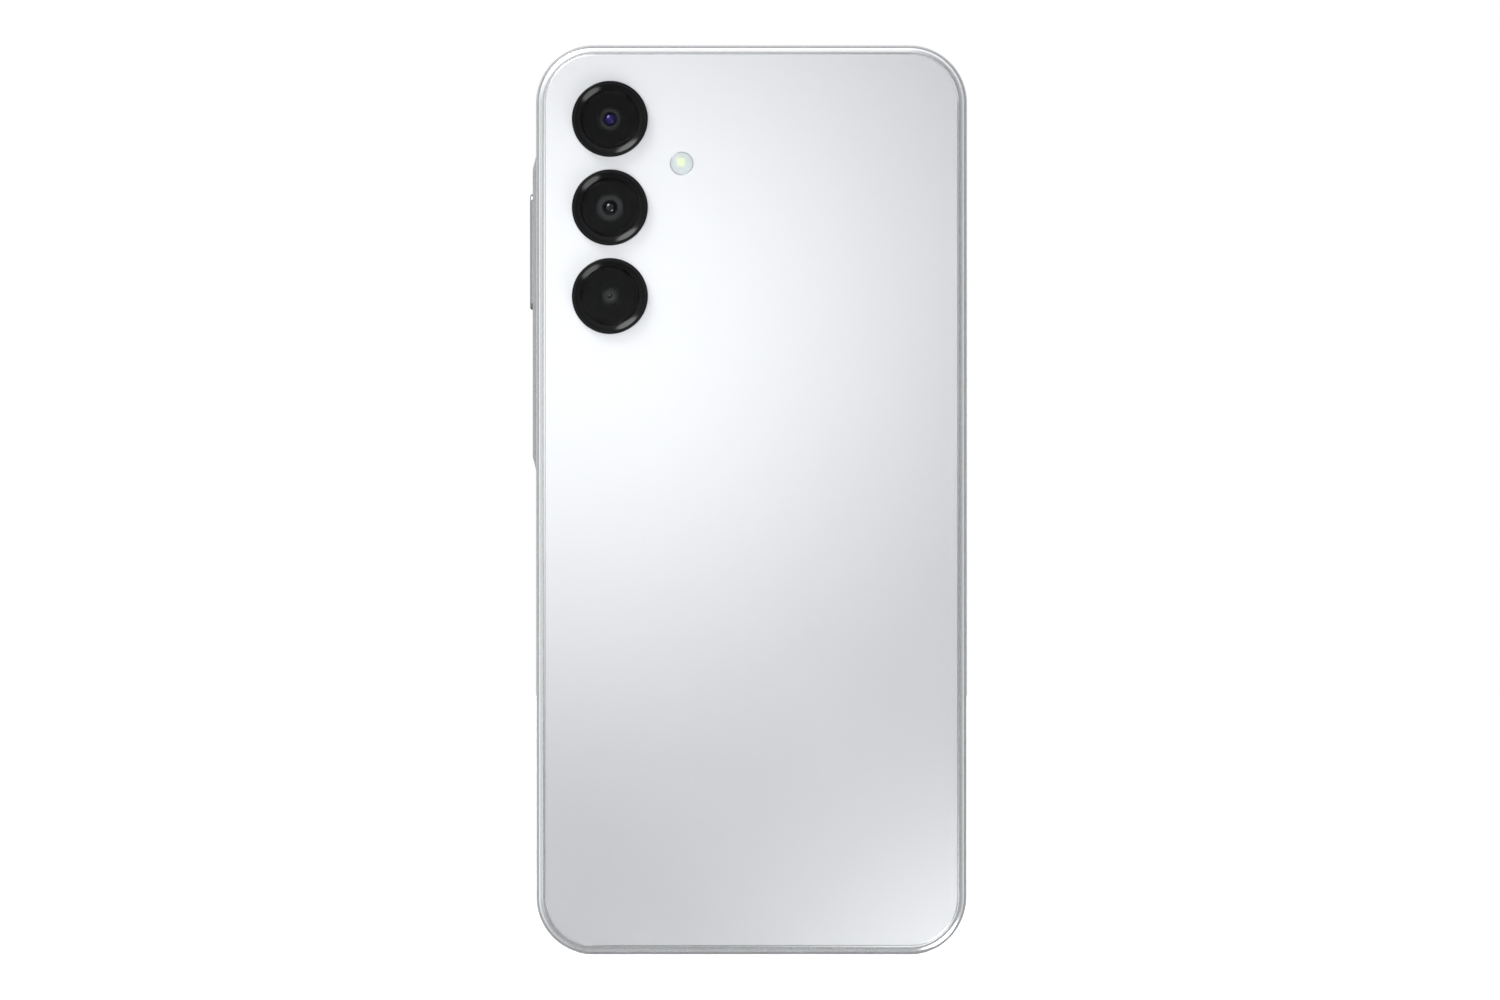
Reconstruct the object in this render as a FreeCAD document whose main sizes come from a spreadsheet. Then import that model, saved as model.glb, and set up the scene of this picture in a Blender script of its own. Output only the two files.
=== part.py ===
import FreeCAD, Part
import math
import os
import re
import Sketcher

# A smartphone standing on its bottom edge. Z runs up to the earpiece end, the display faces -Y,
# the back cover faces +Y and the two keys are on the +X side. The origin is the middle of the bottom edge.

Vector = FreeCAD.Vector

drivingSizes = {
    # whole phone
    "phoneWidth": 77.9, "phoneHeight": 164.4, "cornerRadius": 10.4,
    "glassFront": -3.95, "frameFront": -3.80, "frameBack": 3.90, "coverBack": 3.95,
    # side frame, and how far a cutter runs past what it cuts through
    "cutterPast": 0.1, "frameWall": 3.1, "backRounding": 1.5, "frontRounding": 0.45, "lipWidth": 0.9,
    "rimWidth": 1.7, "seatGap": 0.05, "glassShelf": -3.15, "plateShelf": -1.95, "plateRebate": 2.4,
    "coverShelf": 2.95,
    # glass, display and plates
    "glassBack": -3.35, "glassRounding": 0.25, "panelBack": -2.60, "panelSide": 2.6, "panelBottom": 4.0,
    "panelTop": 161.3, "notchRadius": 3.2, "sheetFront": -2.57, "sheetBack": -2.48, "sheetWidth": 68.0,
    "sheetLow": 30.0, "sheetHigh": 152.0, "plateFront": -2.45, "coverFront": 3.15, "coverRounding": 0.12,
    "tapeMargin": 0.2, "foilThick": 0.15,
    # the display's ribbon
    "ribbonSide": 11.0, "ribbonWidth": 8.0, "ribbonRoot": 8.0, "ribbonTurn": 23.15, "ribbonSlot": 0.9,
    # key island and keys
    "islandRise": 0.62, "islandLow": 87.3, "islandHigh": 144.74, "islandRamp": 2.6, "islandWidth": 5.4,
    "islandShoulder": 0.6, "keyLevel": -0.35, "keySeat": 35.95, "tabInside": 36.0, "tabOutside": 36.5,
    "volumeMiddle": 127.1, "volumeLength": 20.95, "volumeWidth": 2.5, "volumeProud": 1.12, "volumeGap": 0.15,
    "volumeTabWidth": 3.7, "volumeTabLength": 6.0, "volumeTabPlay": 0.12, "volumeCrown": 0.4,
    "powerMiddle": 101.8, "powerLength": 14.95, "powerWidth": 2.9, "powerProud": 0.47, "powerGap": 0.1,
    "powerTabWidth": 3.9, "powerTabLength": 10.0, "powerTabPlay": 0.05, "powerCrown": 0.15, "tabRoom": 0.3,
    "keyTravel": 0.25,
    "pusherRadius": 0.6, "pusherTip": 35.3, "pusherSpread": 7.5, "flexInside": 34.65, "flexWidth": 3.0,
    "flexLow": 93.5, "flexHigh": 141.5, "domeRadius": 1.5, "domeRise": 0.25,
    # rear cameras
    "cameraSide": 25.58, "cameraUpper": 151.03, "cameraMiddle": 135.04, "cameraLower": 119.04,
    "ringRadius": 6.87, "ringBand": 6.3, "ringBore": 5.35, "ringNeck": 6.2, "ringHole": 6.3,
    "ringShoulder": 4.7, "ringTop": 5.65, "ringFoot": 3.1, "ringEdge": 0.25, "windowFront": 4.55,
    "windowBack": 5.05, "windowRadius": 5.3, "collarTop": 3.0, "collarWall": 0.8, "housingTop": 2.0,
    "housingFoot": -1.85, "barrelPlay": 0.2, "boreFoot": -0.4,
    # flash
    "flashSide": 12.62, "flashHeight": 143.0, "flashRadius": 2.1, "flashGap": 0.03, "ledWidth": 2.4,
    # front camera and microphones
    "selfieHeight": 158.4, "selfieWidth": 5.6, "selfieLens": 1.7, "selfieFront": -2.4, "selfieBack": 0.2,
    "selfieFloor": 0.8, "selfieRoom": 0.3, "topMicSide": 8.0, "bottomMicSide": 13.0, "micHoleRadius": 0.5,
    "micWidth": 3.0, "micDepth": 3.0,
    # circuit boards and brackets
    "boardFront": -1.15, "boardBack": -0.35, "boardGap": 0.6, "mainBoardLow": 113.4, "subBoardHigh": 21.5,
    "subBoardSide": -8.5, "bracketFront": 1.95, "bracketBack": 2.75, "bracketGap": 0.5,
    "upperBracketLow": 113.2, "lowerBracketHigh": 22.0, "connectorBack": 0.45, "shieldBack": 1.05,
    "sheetMetal": 0.2, "coilThick": 0.12,
    # screws and the posts that take them
    "postFoot": 2.2, "postRadius": 1.5, "postGap": 0.1, "pilotRadius": 0.72, "pilotEnd": -1.0,
    "screwRadius": 0.7, "screwEnd": -0.7, "screwHead": 1.2, "headSeat": 2.4, "headTop": 2.9,
    "headClearance": 1.4, "shankClearance": 0.85, "crossLength": 1.4, "crossWidth": 0.3, "crossDepth": 0.25,
    # battery
    "batteryMiddle": -1.75, "batteryWidth": 64.5, "batteryLow": 25.0, "batteryHigh": 107.5,
    "batteryFront": -1.9, "batteryBack": 2.7, "batteryRounding": 1.0, "ribbonLift": 0.08,
    # card tray, its socket and the eject linkage
    "trayLevel": 0.35, "headMiddle": 137.0, "headLength": 17.0, "headWidth": 2.5, "headThick": 1.55,
    "headGap": 0.08, "trayMiddle": 136.0, "trayWidth": 13.6, "trayThick": 0.9, "trayEnd": -8.6,
    "slotGap": 0.55, "gasketThick": 0.42, "gasketPlay": 0.005, "gasketOutside": -37.25,
    "gasketInside": -36.45, "recessFloor": 0.2, "ejectHeight": 143.7, "ejectRadius": 0.5, "rodRadius": 0.45,
    "rodRoom": 1.3, "rodOutside": -36.4, "rodInside": -7.0, "pivotSide": -6.2, "pivotHeight": 139.5,
    "pivotRadius": 0.4, "pivotGap": 0.05, "leverWidth": 1.2, "leverHigh": 144.1, "leverLow": 135.0,
    "leverThick": 0.4, "socketOutside": -35.3, "socketInside": -3.6, "socketLow": 128.6,
    "socketHigh": 145.8, "socketBack": 1.15, "socketWall": 0.3,
    # charging port
    "portLevel": -0.1, "portWidth": 8.34, "portThick": 2.56, "portWall": 0.3, "portGap": 0.08,
    "portMouth": 0.35, "portEnd": 7.6, "tongueWidth": 6.69, "tongueThick": 0.7, "tongueTip": 1.0,
    "tongueRoot": 5.6,
    # loudspeaker
    "speakerMiddle": -19.55, "speakerWidth": 20.1, "speakerLow": 3.8, "speakerFront": -1.85,
    "speakerWall": 1.0, "speakerHoleRadius": 0.65, "speakerHolePitch": 2.2, "coneFront": 1.0,
    "coneThick": 0.2, "coneWidth": 16.5, "coneHeight": 13.0, "coilDepth": 1.05, "coilWidth": 10.0,
    "coilHeight": 7.6, "coilWall": 0.4, "coilGap": 0.3, "coilTravel": 0.65, "yokeFront": -1.05,
    "yokeBack": 0.55, "yokeWidth": 14.0, "yokeHeight": 11.0, "grilleWidth": 2.4, "grilleThick": 0.2,
    # earpiece
    "earpieceMiddle": -11.0, "earpieceHeight": 157.3, "earpieceWidth": 12.0, "earpieceDepth": 6.0,
    "earpieceFront": -1.85, "earpieceBack": 0.85, "earpieceWall": 0.3, "slitHalf": 5.2, "slitLow": 162.9,
    "grilleLow": 162.95, "grilleHigh": 163.45, "grilleFront": -3.7, "grilleBack": -3.5, "ductWidth": 10.0,
    "ductLow": 161.0, "ductHigh": 163.0, "ductEnd": -1.0,
    # vibration motor
    "motorSide": 24.0, "motorHeight": 12.5, "motorRadius": 4.0, "motorWall": 0.2, "motorFront": -1.85,
    "motorBack": 0.95, "motorShaft": 0.4, "shaftGap": 0.05, "rotorRadius": 3.5, "rotorHub": 1.0,
    "rotorFront": -1.2, "rotorBack": 0.4,
    # antenna cable
    "cableRadius": 0.5, "cableLevel": 0.6, "cableLowSide": 32.6, "cableHighSide": 31.8, "cableStart": 17.0,
    "cableEnd": 116.0, "cableBend": 30.0,
}

doc = FreeCAD.newDocument("smartphone")
sheet = doc.addObject("Spreadsheet::Sheet", "dims")
for row, (alias, number) in enumerate(drivingSizes.items(), start=1):
    sheet.set(f"A{row}", alias)
    sheet.set(f"B{row}", str(number))
    sheet.setAlias(f"B{row}", alias)
doc.recompute()

# for each axis: the origin plane across it, the side its normal points, and whether a pad and a pocket
# have to be reversed to run towards the axis's positive end
planes = {
    "X": ("YZ_Plane", 1, False, True),
    "Y": ("XZ_Plane", -1, True, False),
    "Z": ("XY_Plane", 1, False, True),
}

# lengths that several sub-parts share, as expressions of the sheet
innerSide = "(phoneWidth / 2 - frameWall)"
middle = ("0", "phoneHeight / 2")
speakerSpot = ("speakerMiddle", "(speakerLow + lowerBracketHigh) / 2")
upperPosts = [(-33, 116), (-33, 148.5), (-20, 158.4), (14, 158.4), (32, 157.4), (17.3, 143), (17.3, 127),
              (17.3, 115.5)]
lowerPosts = [(-32.2, 7.2), (-32.2, 19.5), (17.5, 6.2), (18.8, 19.3), (28.5, 19.3), (32, 7)]


def named(text):
    return re.sub(r"\b([a-z][A-Za-z]+)\b", r"dims.\1", str(text))  # an alias needs its sheet's name


def value(text):
    return float(sheet.evalExpression(named(text)))


def bind(item, prop, text):
    item.setExpression(prop, named(text))


def newBody(label, at=None):
    body = doc.addObject("PartDesign::Body", label)
    body.Label = label
    if at is not None:
        for axis, text in zip("xyz", at):
            bind(body, ".Placement.Base." + axis, text)
    return body


def newSketch(body, name, axis, level, centre):
    role, side, _, _ = planes[axis]
    plane = [item for item in body.Origin.OriginFeatures if item.Role == role][0]
    sketch = body.newObject("Sketcher::SketchObject", body.Label + "_" + name)
    sketch.AttachmentSupport = [(plane, "")]
    sketch.MapMode = "FlatFace"
    bind(sketch, ".AttachmentOffset.Base.x", centre[0])
    bind(sketch, ".AttachmentOffset.Base.y", centre[1])
    bind(sketch, ".AttachmentOffset.Base.z", f"{side} * ({level})")
    return sketch


def dimension(sketch, constraint, name, text):
    index = sketch.addConstraint(constraint)
    sketch.renameConstraint(index, name)
    bind(sketch, "Constraints." + name, text)


def placePoint(sketch, edge, point, where, name):
    for letter, kind, axisLine, text in (("x", "DistanceX", -2, where[0]), ("y", "DistanceY", -1, where[1])):
        if abs(value(text)) < 1e-9:  # a distance of nothing is a point on the axis
            sketch.addConstraint(Sketcher.Constraint("PointOnObject", edge, point, axisLine))
        else:
            rule = Sketcher.Constraint(kind, -1, 1, edge, point, value(text))
            dimension(sketch, rule, name + letter, text)


def drawRectangle(sketch, size, radius):
    # four sides anticlockwise from the right-hand one, and an arc at each corner if it is rounded
    halfWide, halfTall, bend = value(size[0]) / 2, value(size[1]) / 2, value(radius)
    rule = Sketcher.Constraint
    corners = [(1, -1), (1, 1), (-1, 1), (-1, -1)]
    sides = []
    arcs = []
    for index, (right, up) in enumerate(corners):
        nextRight, nextUp = corners[(index + 1) % 4]
        alongUp, alongRight = abs(nextUp - up) / 2, abs(nextRight - right) / 2
        insetWide, insetTall = halfWide - bend * alongRight, halfTall - bend * alongUp
        start = Vector(right * insetWide, up * insetTall, 0)
        end = Vector(nextRight * insetWide, nextUp * insetTall, 0)
        sides.append(Part.LineSegment(start, end))
        if bend > 0:
            turn = index * math.pi / 2
            circle = Part.Circle(Vector(nextRight * (halfWide - bend), nextUp * (halfTall - bend), 0),
                                 Vector(0, 0, 1), bend)
            arcs.append(Part.ArcOfCircle(circle, turn, turn + math.pi / 2))
    sketch.addGeometry(sides + arcs, False)
    for index in range(4):
        after = (index + 1) % 4
        if bend > 0:
            sketch.addConstraint(rule("Tangent", index, 2, 4 + index, 1))
            sketch.addConstraint(rule("Tangent", 4 + index, 2, after, 1))
        else:
            sketch.addConstraint(rule("Coincident", index, 2, after, 1))
        sketch.addConstraint(rule("Horizontal" if index % 2 else "Vertical", index))
    if bend > 0:
        for index in (4, 5, 6):
            sketch.addConstraint(rule("Equal", index, index + 1))
        dimension(sketch, rule("Radius", 4, bend), "corner", radius)
    sketch.addConstraint(rule("Symmetric", 0, 1, 2, 1, -1, 1))
    dimension(sketch, rule("DistanceX", 2, 1, 0, 1, 2 * halfWide), "wide", size[0])
    dimension(sketch, rule("DistanceY", 3, 1, 1, 1, 2 * halfTall), "tall", size[1])


def drawCircle(sketch, where, radius, name="circle"):
    circle = Part.Circle(Vector(value(where[0]), value(where[1]), 0), Vector(0, 0, 1), value(radius))
    index = sketch.addGeometry(circle, False)
    placePoint(sketch, index, 3, where, name)
    dimension(sketch, Sketcher.Constraint("Radius", index, value(radius)), name + "r", radius)


def drawPolygon(sketch, points):
    spots = [Vector(value(across), value(up), 0) for across, up in points]
    for index, spot in enumerate(spots):
        sketch.addGeometry(Part.LineSegment(spot, spots[(index + 1) % len(spots)]), False)
    for index, point in enumerate(points):
        sketch.addConstraint(Sketcher.Constraint("Coincident", index, 2, (index + 1) % len(points), 1))
        placePoint(sketch, index, 1, point, f"p{index}")


def push(body, name, axis, low, high, centre, draw, cut):
    # a pad or pocket along an axis from one level to another; a cut "through" runs a little past both
    if cut == "through":
        low, high = f"({low}) - cutterPast", f"({high}) + cutterPast"
    sketch = newSketch(body, name, axis, low, centre)
    draw(sketch)
    _, _, padReversed, pocketReversed = planes[axis]
    feature = body.newObject("PartDesign::Pocket" if cut else "PartDesign::Pad", sketch.Name + "Feature")
    feature.Profile = sketch
    feature.Reversed = pocketReversed if cut else padReversed
    bind(feature, "Length", f"({high}) - ({low})")
    return feature


def slab(body, name, axis, low, high, centre, size, radius=0, cut=None):
    return push(body, name, axis, low, high, centre, lambda sketch: drawRectangle(sketch, size, radius), cut)


def disc(body, name, axis, low, high, centre, radius, cut=None):
    return push(body, name, axis, low, high, centre, lambda sketch: drawCircle(sketch, ("0", "0"), radius), cut)


def discs(body, name, axis, low, high, centres, radius, cut=None):
    def draw(sketch):
        for index, centre in enumerate(centres):
            drawCircle(sketch, centre, radius, f"c{index}")

    return push(body, name, axis, low, high, ("0", "0"), draw, cut)


def prism(body, name, axis, low, high, points):
    return push(body, name, axis, low, high, ("0", "0"), lambda sketch: drawPolygon(sketch, points), None)


def turned(body, points):
    # a solid of revolution about the body's own Y axis, from points of radius and height
    sketch = newSketch(body, "profile", "Z", 0, ("0", "0"))
    drawPolygon(sketch, points)
    feature = body.newObject("PartDesign::Revolution", sketch.Name + "Feature")
    feature.Profile = sketch
    feature.ReferenceAxis = (sketch, ["V_Axis"])
    feature.Angle = 360
    return feature


def roundEdges(body, name, base, axis, level, radius):
    # a fillet on every edge that lies wholly in one plane across an axis
    doc.recompute()
    chosen = []
    for index, edge in enumerate(base.Shape.Edges, start=1):
        reach = [getattr(edge.BoundBox, axis + end) - value(level) for end in ("Min", "Max")]
        if max(abs(gap) for gap in reach) < 1e-4:
            chosen.append(f"Edge{index}")
    feature = body.newObject("PartDesign::Fillet", body.Label + "_" + name)
    feature.Base = (base, chosen)
    bind(feature, "Radius", radius)
    return feature


def insetSlab(body, name, low, high, inset, cut=None):
    # a plate with the phone's outline, moved inwards all round
    size = (f"phoneWidth - 2 * ({inset})", f"phoneHeight - 2 * ({inset})")
    return slab(body, name, "Y", low, high, middle, size, f"cornerRadius - ({inset})", cut)


def window(body, name, front, back, left, right, low, high, radius="0.4"):
    # a rectangular opening through a plate, between four edges
    slab(body, name, "Y", front, back, (f"(({left}) + ({right})) / 2", f"(({low}) + ({high})) / 2"),
         (f"({right}) - ({left})", f"({high}) - ({low})"), radius, "through")


def boardPlate(body, front, back, gap, above=None, below=None):
    # a plate that fills the inside's outline, trimmed off straight to lie above or below a level
    insetSlab(body, "outline", front, back, f"frameWall + {gap}")
    low, high = ("0", above) if above else (below, "phoneHeight")
    window(body, "trim", front, back, "-phoneWidth / 2", "phoneWidth / 2", low, high, "0")


def box(name, low, high):
    # a Part box between two corners, each a triple of sizes
    item = doc.addObject("Part::Box", name)
    for axis, prop, start, end in zip("xyz", ("Length", "Width", "Height"), low, high):
        bind(item, prop, f"({end}) - ({start})")
        bind(item, ".Placement.Base." + axis, start)
    return item


def standing(name, side, height, front, back, radius):
    # a Part cylinder whose axis runs along Y
    item = doc.addObject("Part::Cylinder", name)
    item.Placement.Rotation = FreeCAD.Rotation(Vector(1, 0, 0), -90)
    for axis, text in zip("xyz", (side, front, height)):
        bind(item, ".Placement.Base." + axis, text)
    bind(item, "Height", f"({back}) - ({front})")
    bind(item, "Radius", radius)
    return item


def group(label, pieces):
    item = doc.addObject("Part::Compound", label)
    item.Label = label
    item.Links = pieces


def makeSideFrame():
    body = newBody("side_frame")
    wall = insetSlab(body, "wall", "frameFront", "frameBack", "0")
    rounded = roundEdges(body, "backEdge", wall, "Y", "frameBack", "backRounding")
    roundEdges(body, "frontEdge", rounded, "Y", "frameFront", "frontRounding")
    addKeyIsland(body)
    # room for the insides, the back cover, the mid plate and the front glass
    insetSlab(body, "inside", "frameFront", "frameBack", "frameWall", "through")
    insetSlab(body, "coverSeat", "coverShelf", "frameBack + cutterPast", "rimWidth - seatGap", "blind")
    insetSlab(body, "plateSeat", "frameFront - cutterPast", "plateShelf", "plateRebate", "blind")
    insetSlab(body, "glassSeat", "frameFront - cutterPast", "glassShelf", "lipWidth - seatGap", "blind")
    cutKeyOpenings(body)
    cutTrayOpenings(body)
    cutEndOpenings(body)


def addKeyIsland(body):
    # lofted from the side face out to a smaller crest, so it slopes on all four sides
    centre = ("keyLevel", "(islandLow + islandHigh) / 2")
    foot = newSketch(body, "islandFoot", "X", "phoneWidth / 2 - seatGap", centre)
    drawRectangle(foot, ("islandWidth", "islandHigh - islandLow"), "islandWidth / 2 - 0.1")
    crest = newSketch(body, "islandCrest", "X", "phoneWidth / 2 + islandRise", centre)
    crestSize = ("islandWidth - 2 * islandShoulder", "islandHigh - islandLow - 2 * islandRamp")
    drawRectangle(crest, crestSize, "islandWidth / 2 - islandShoulder - 0.1")
    island = body.newObject("PartDesign::AdditiveLoft", "side_frame_island")
    island.Profile = foot
    island.Sections = [crest]
    island.Ruled = True


def cutKeyOpenings(body):
    # an opening for each key's cap, and a pocket on the inside for its retaining tab
    for key in ("volume", "power"):
        centre = ("keyLevel", key + "Middle")
        size = (f"{key}Width + 2 * {key}Gap", f"{key}Length + 2 * {key}Gap")
        slab(body, key + "Opening", "X", innerSide, "phoneWidth / 2 + islandRise", centre, size,
             f"{key}Width / 2 + {key}Gap - 0.01", "through")
        room = (f"{key}TabWidth + 2 * tabRoom", f"{key}TabLength + 2 * tabRoom")
        slab(body, key + "TabRoom", "X", innerSide + " - cutterPast", f"tabOutside + {key}TabPlay", centre, room,
             "0.3", "blind")


def cutTrayOpenings(body):
    # a slot stepped for the tray's head, and a square way in for the eject rod
    slab(body, "trayHeadSeat", "X", "-phoneWidth / 2 - cutterPast", "-phoneWidth / 2 + headThick + seatGap",
         ("trayLevel", "headMiddle"), ("headWidth + 2 * headGap", "headLength + 2 * headGap"),
         "headWidth / 2 + headGap - 0.01", "blind")
    slab(body, "traySlot", "X", "-phoneWidth / 2", "-" + innerSide, ("trayLevel", "trayMiddle"),
         ("trayThick + 2 * slotGap", "trayWidth + 2 * slotGap"), "0.4", "through")
    slab(body, "rodRoom", "X", "-phoneWidth / 2", "-" + innerSide, ("trayLevel", "ejectHeight"),
         ("rodRoom", "rodRoom"), "0.2", "through")


def cutEndOpenings(body):
    # bottom: charging port, loudspeaker and microphone; top: microphone and the earpiece's duct
    portSize = ("portWidth + 2 * (portWall + portGap)", "portThick + 2 * (portWall + portGap)")
    slab(body, "port", "Z", "0", "frameWall", ("0", "portLevel"), portSize,
         "portThick / 2 + portWall + portGap - 0.01", "through")
    holes = [(f"speakerMiddle + {step} * speakerHolePitch", "portLevel") for step in range(-3, 4)]
    discs(body, "speakerHoles", "Z", "0", "frameWall", holes, "speakerHoleRadius", "through")
    disc(body, "bottomMicHole", "Z", "0", "frameWall", ("bottomMicSide", "portLevel"), "micHoleRadius", "through")
    disc(body, "topMicHole", "Z", "phoneHeight - frameWall", "phoneHeight", ("topMicSide", "portLevel"),
         "micHoleRadius", "through")
    slab(body, "earpieceDuct", "Y", "frameFront - cutterPast", "ductEnd", ("0", "(ductLow + ductHigh) / 2"),
         ("ductWidth", "ductHigh - ductLow"), 0, "blind")


def makeBackCover():
    body = newBody("back_cover")
    plate = insetSlab(body, "plate", "coverFront", "coverBack", "rimWidth")
    roundEdges(body, "edge", plate, "Y", "coverBack", "coverRounding")
    holes = [("cameraSide", spot) for spot in ("cameraUpper", "cameraMiddle", "cameraLower")]
    discs(body, "cameraHoles", "Y", "coverFront", "coverBack", holes, "ringHole", "through")
    disc(body, "flashHole", "Y", "coverFront", "coverBack", ("flashSide", "flashHeight"),
         "flashRadius + flashGap", "through")


def makeTape(label, front, back, outside, inside):
    # a closed ring of adhesive tape that follows the phone's outline
    body = newBody(label)
    insetSlab(body, "outside", front, back, outside)
    insetSlab(body, "inside", front, back, inside, "through")
    return body


def makeTapes():
    makeTape("cover_adhesive", "coverShelf", "coverFront", "rimWidth + tapeMargin", "frameWall - tapeMargin")
    tape = makeTape("display_adhesive", "glassBack", "glassShelf", "lipWidth + tapeMargin",
                    "plateRebate - tapeMargin")
    half = "ductWidth / 2 + 0.5"
    window(tape, "ductGap", "glassBack", "glassShelf", f"-({half})", half, "ductLow", "phoneHeight", "0")


def makeFrontGlass():
    body = newBody("front_glass")
    plate = insetSlab(body, "plate", "glassFront", "glassBack", "lipWidth")
    roundEdges(body, "edge", plate, "Y", "glassFront", "glassRounding")
    window(body, "earpieceSlit", "glassFront", "glassBack", "-slitHalf", "slitHalf", "slitLow", "slitLow + 4",
           "0.3")


def makeDisplay():
    panel = newBody("display_panel")
    slab(panel, "panel", "Y", "glassBack", "panelBack", ("0", "(panelTop + panelBottom) / 2"),
         ("phoneWidth - 2 * panelSide", "panelTop - panelBottom"), "cornerRadius - panelSide")
    disc(panel, "notch", "Y", "glassBack", "panelBack", ("0", "selfieHeight"), "notchRadius", "through")
    window(panel, "notchMouth", "glassBack", "panelBack", "-notchRadius", "notchRadius", "selfieHeight",
           "selfieHeight + 5", "0")

    graphite = newBody("graphite_sheet")
    slab(graphite, "sheet", "Y", "sheetFront", "sheetBack", ("0", "(sheetLow + sheetHigh) / 2"),
         ("sheetWidth", "sheetHigh - sheetLow"), "4")


def makeDisplayRibbon():
    # runs down behind the panel, through the mid plate and over the sub board to its connector
    body = newBody("display_flex")
    front, back, level = "sheetFront", "sheetFront + foilThick - 0.04", "connectorBack"
    turn = ["ribbonTurn", "ribbonTurn + foilThick"]
    profile = [(level, "subBoardHigh - 5.5"), (f"{level} + foilThick", "subBoardHigh - 5.5"),
               (f"{level} + foilThick", turn[1]), (back, turn[1]), (back, turn[0]), (level, turn[0])]
    prism(body, "bend", "X", "ribbonSide - ribbonWidth / 2", "ribbonSide + ribbonWidth / 2", profile)
    slab(body, "root", "Y", front, back, ("ribbonSide", f"(ribbonRoot + {turn[1]}) / 2"),
         ("ribbonWidth", f"{turn[1]} - ribbonRoot"))


def makeMidPlate():
    body = newBody("mid_plate")
    insetSlab(body, "plate", "plateFront", "plateShelf", "plateRebate + seatGap")
    posts = upperPosts + lowerPosts
    discs(body, "postFeet", "Y", "plateShelf", "boardFront", posts, "postFoot")
    discs(body, "posts", "Y", "boardFront", "bracketFront", posts, "postRadius")
    discs(body, "pilots", "Y", "pilotEnd", "bracketFront + cutterPast", posts, "pilotRadius", "blind")
    half = "(selfieWidth / 2 + selfieRoom)"
    window(body, "selfieWindow", "plateFront", "plateShelf", "-" + half, half, "selfieHeight - " + half,
           "selfieHeight + " + half)
    slab(body, "ribbonSlot", "Y", "plateFront", "plateShelf", ("ribbonSide", "ribbonTurn + 0.05"),
         ("ribbonWidth + 1", "ribbonSlot"), "0.3", "through")
    half = "(ductWidth / 2 + 0.2)"
    window(body, "ductGap", "plateFront", "plateShelf", "-" + half, half, "ductLow - 0.2", "phoneHeight", "0")
    for key in ("volume", "power"):
        half = f"({key}TabLength / 2 + 1)"
        window(body, key + "TabGap", "plateFront", "plateShelf", innerSide + " - keyTravel", "phoneWidth / 2",
               f"{key}Middle - {half}", f"{key}Middle + {half}", "0")


def makeKeys():
    # the volume key rocks about its middle, and the power key slides straight in
    for key in ("volume", "power"):
        body = newBody(key + "_key")
        centre = ("keyLevel", key + "Middle")
        crown = f"phoneWidth / 2 + {key}Proud"
        cap = slab(body, "cap", "X", "keySeat", crown, centre, (key + "Width", key + "Length"),
                   f"{key}Width / 2 - 0.01")
        roundEdges(body, "crown", cap, "X", crown, key + "Crown")
        slab(body, "tab", "X", "tabInside", "tabOutside", centre, (key + "TabWidth", key + "TabLength"), "0.3")
        sides = (-1, 1) if key == "volume" else (0,)
        pushers = [("keyLevel", f"{key}Middle + {side} * pusherSpread") for side in sides]
        discs(body, "pushers", "X", "pusherTip", "keySeat", pushers, "pusherRadius")


def makeKeyFlex():
    outside = "flexInside + foilThick"
    flex = newBody("side_key_flex")
    slab(flex, "strip", "X", "flexInside", outside, ("keyLevel", "(flexLow + flexHigh) / 2"),
         ("flexWidth", "flexHigh - flexLow"), "0.5")
    slab(flex, "bridge", "X", "flexInside", outside, ("0.1", "flexHigh + 1"), ("1", "4"))
    slab(flex, "tail", "Y", "connectorBack", "connectorBack + foilThick", ("flexInside - 1.85", "flexHigh + 1.5"),
         ("4", "3"))

    domes = []
    for spot in ("volumeMiddle - pusherSpread", "volumeMiddle + pusherSpread", "powerMiddle"):
        dome = doc.addObject("Part::Cone", "dome")
        dome.Placement.Rotation = FreeCAD.Rotation(Vector(0, 1, 0), 90)
        for axis, text in zip("xyz", (outside, "keyLevel", spot)):
            bind(dome, ".Placement.Base." + axis, text)
        bind(dome, "Radius1", "domeRadius")
        bind(dome, "Radius2", "domeRadius / 2")
        bind(dome, "Height", "domeRise")
        domes.append(dome)
    group("key_domes", domes)


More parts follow.
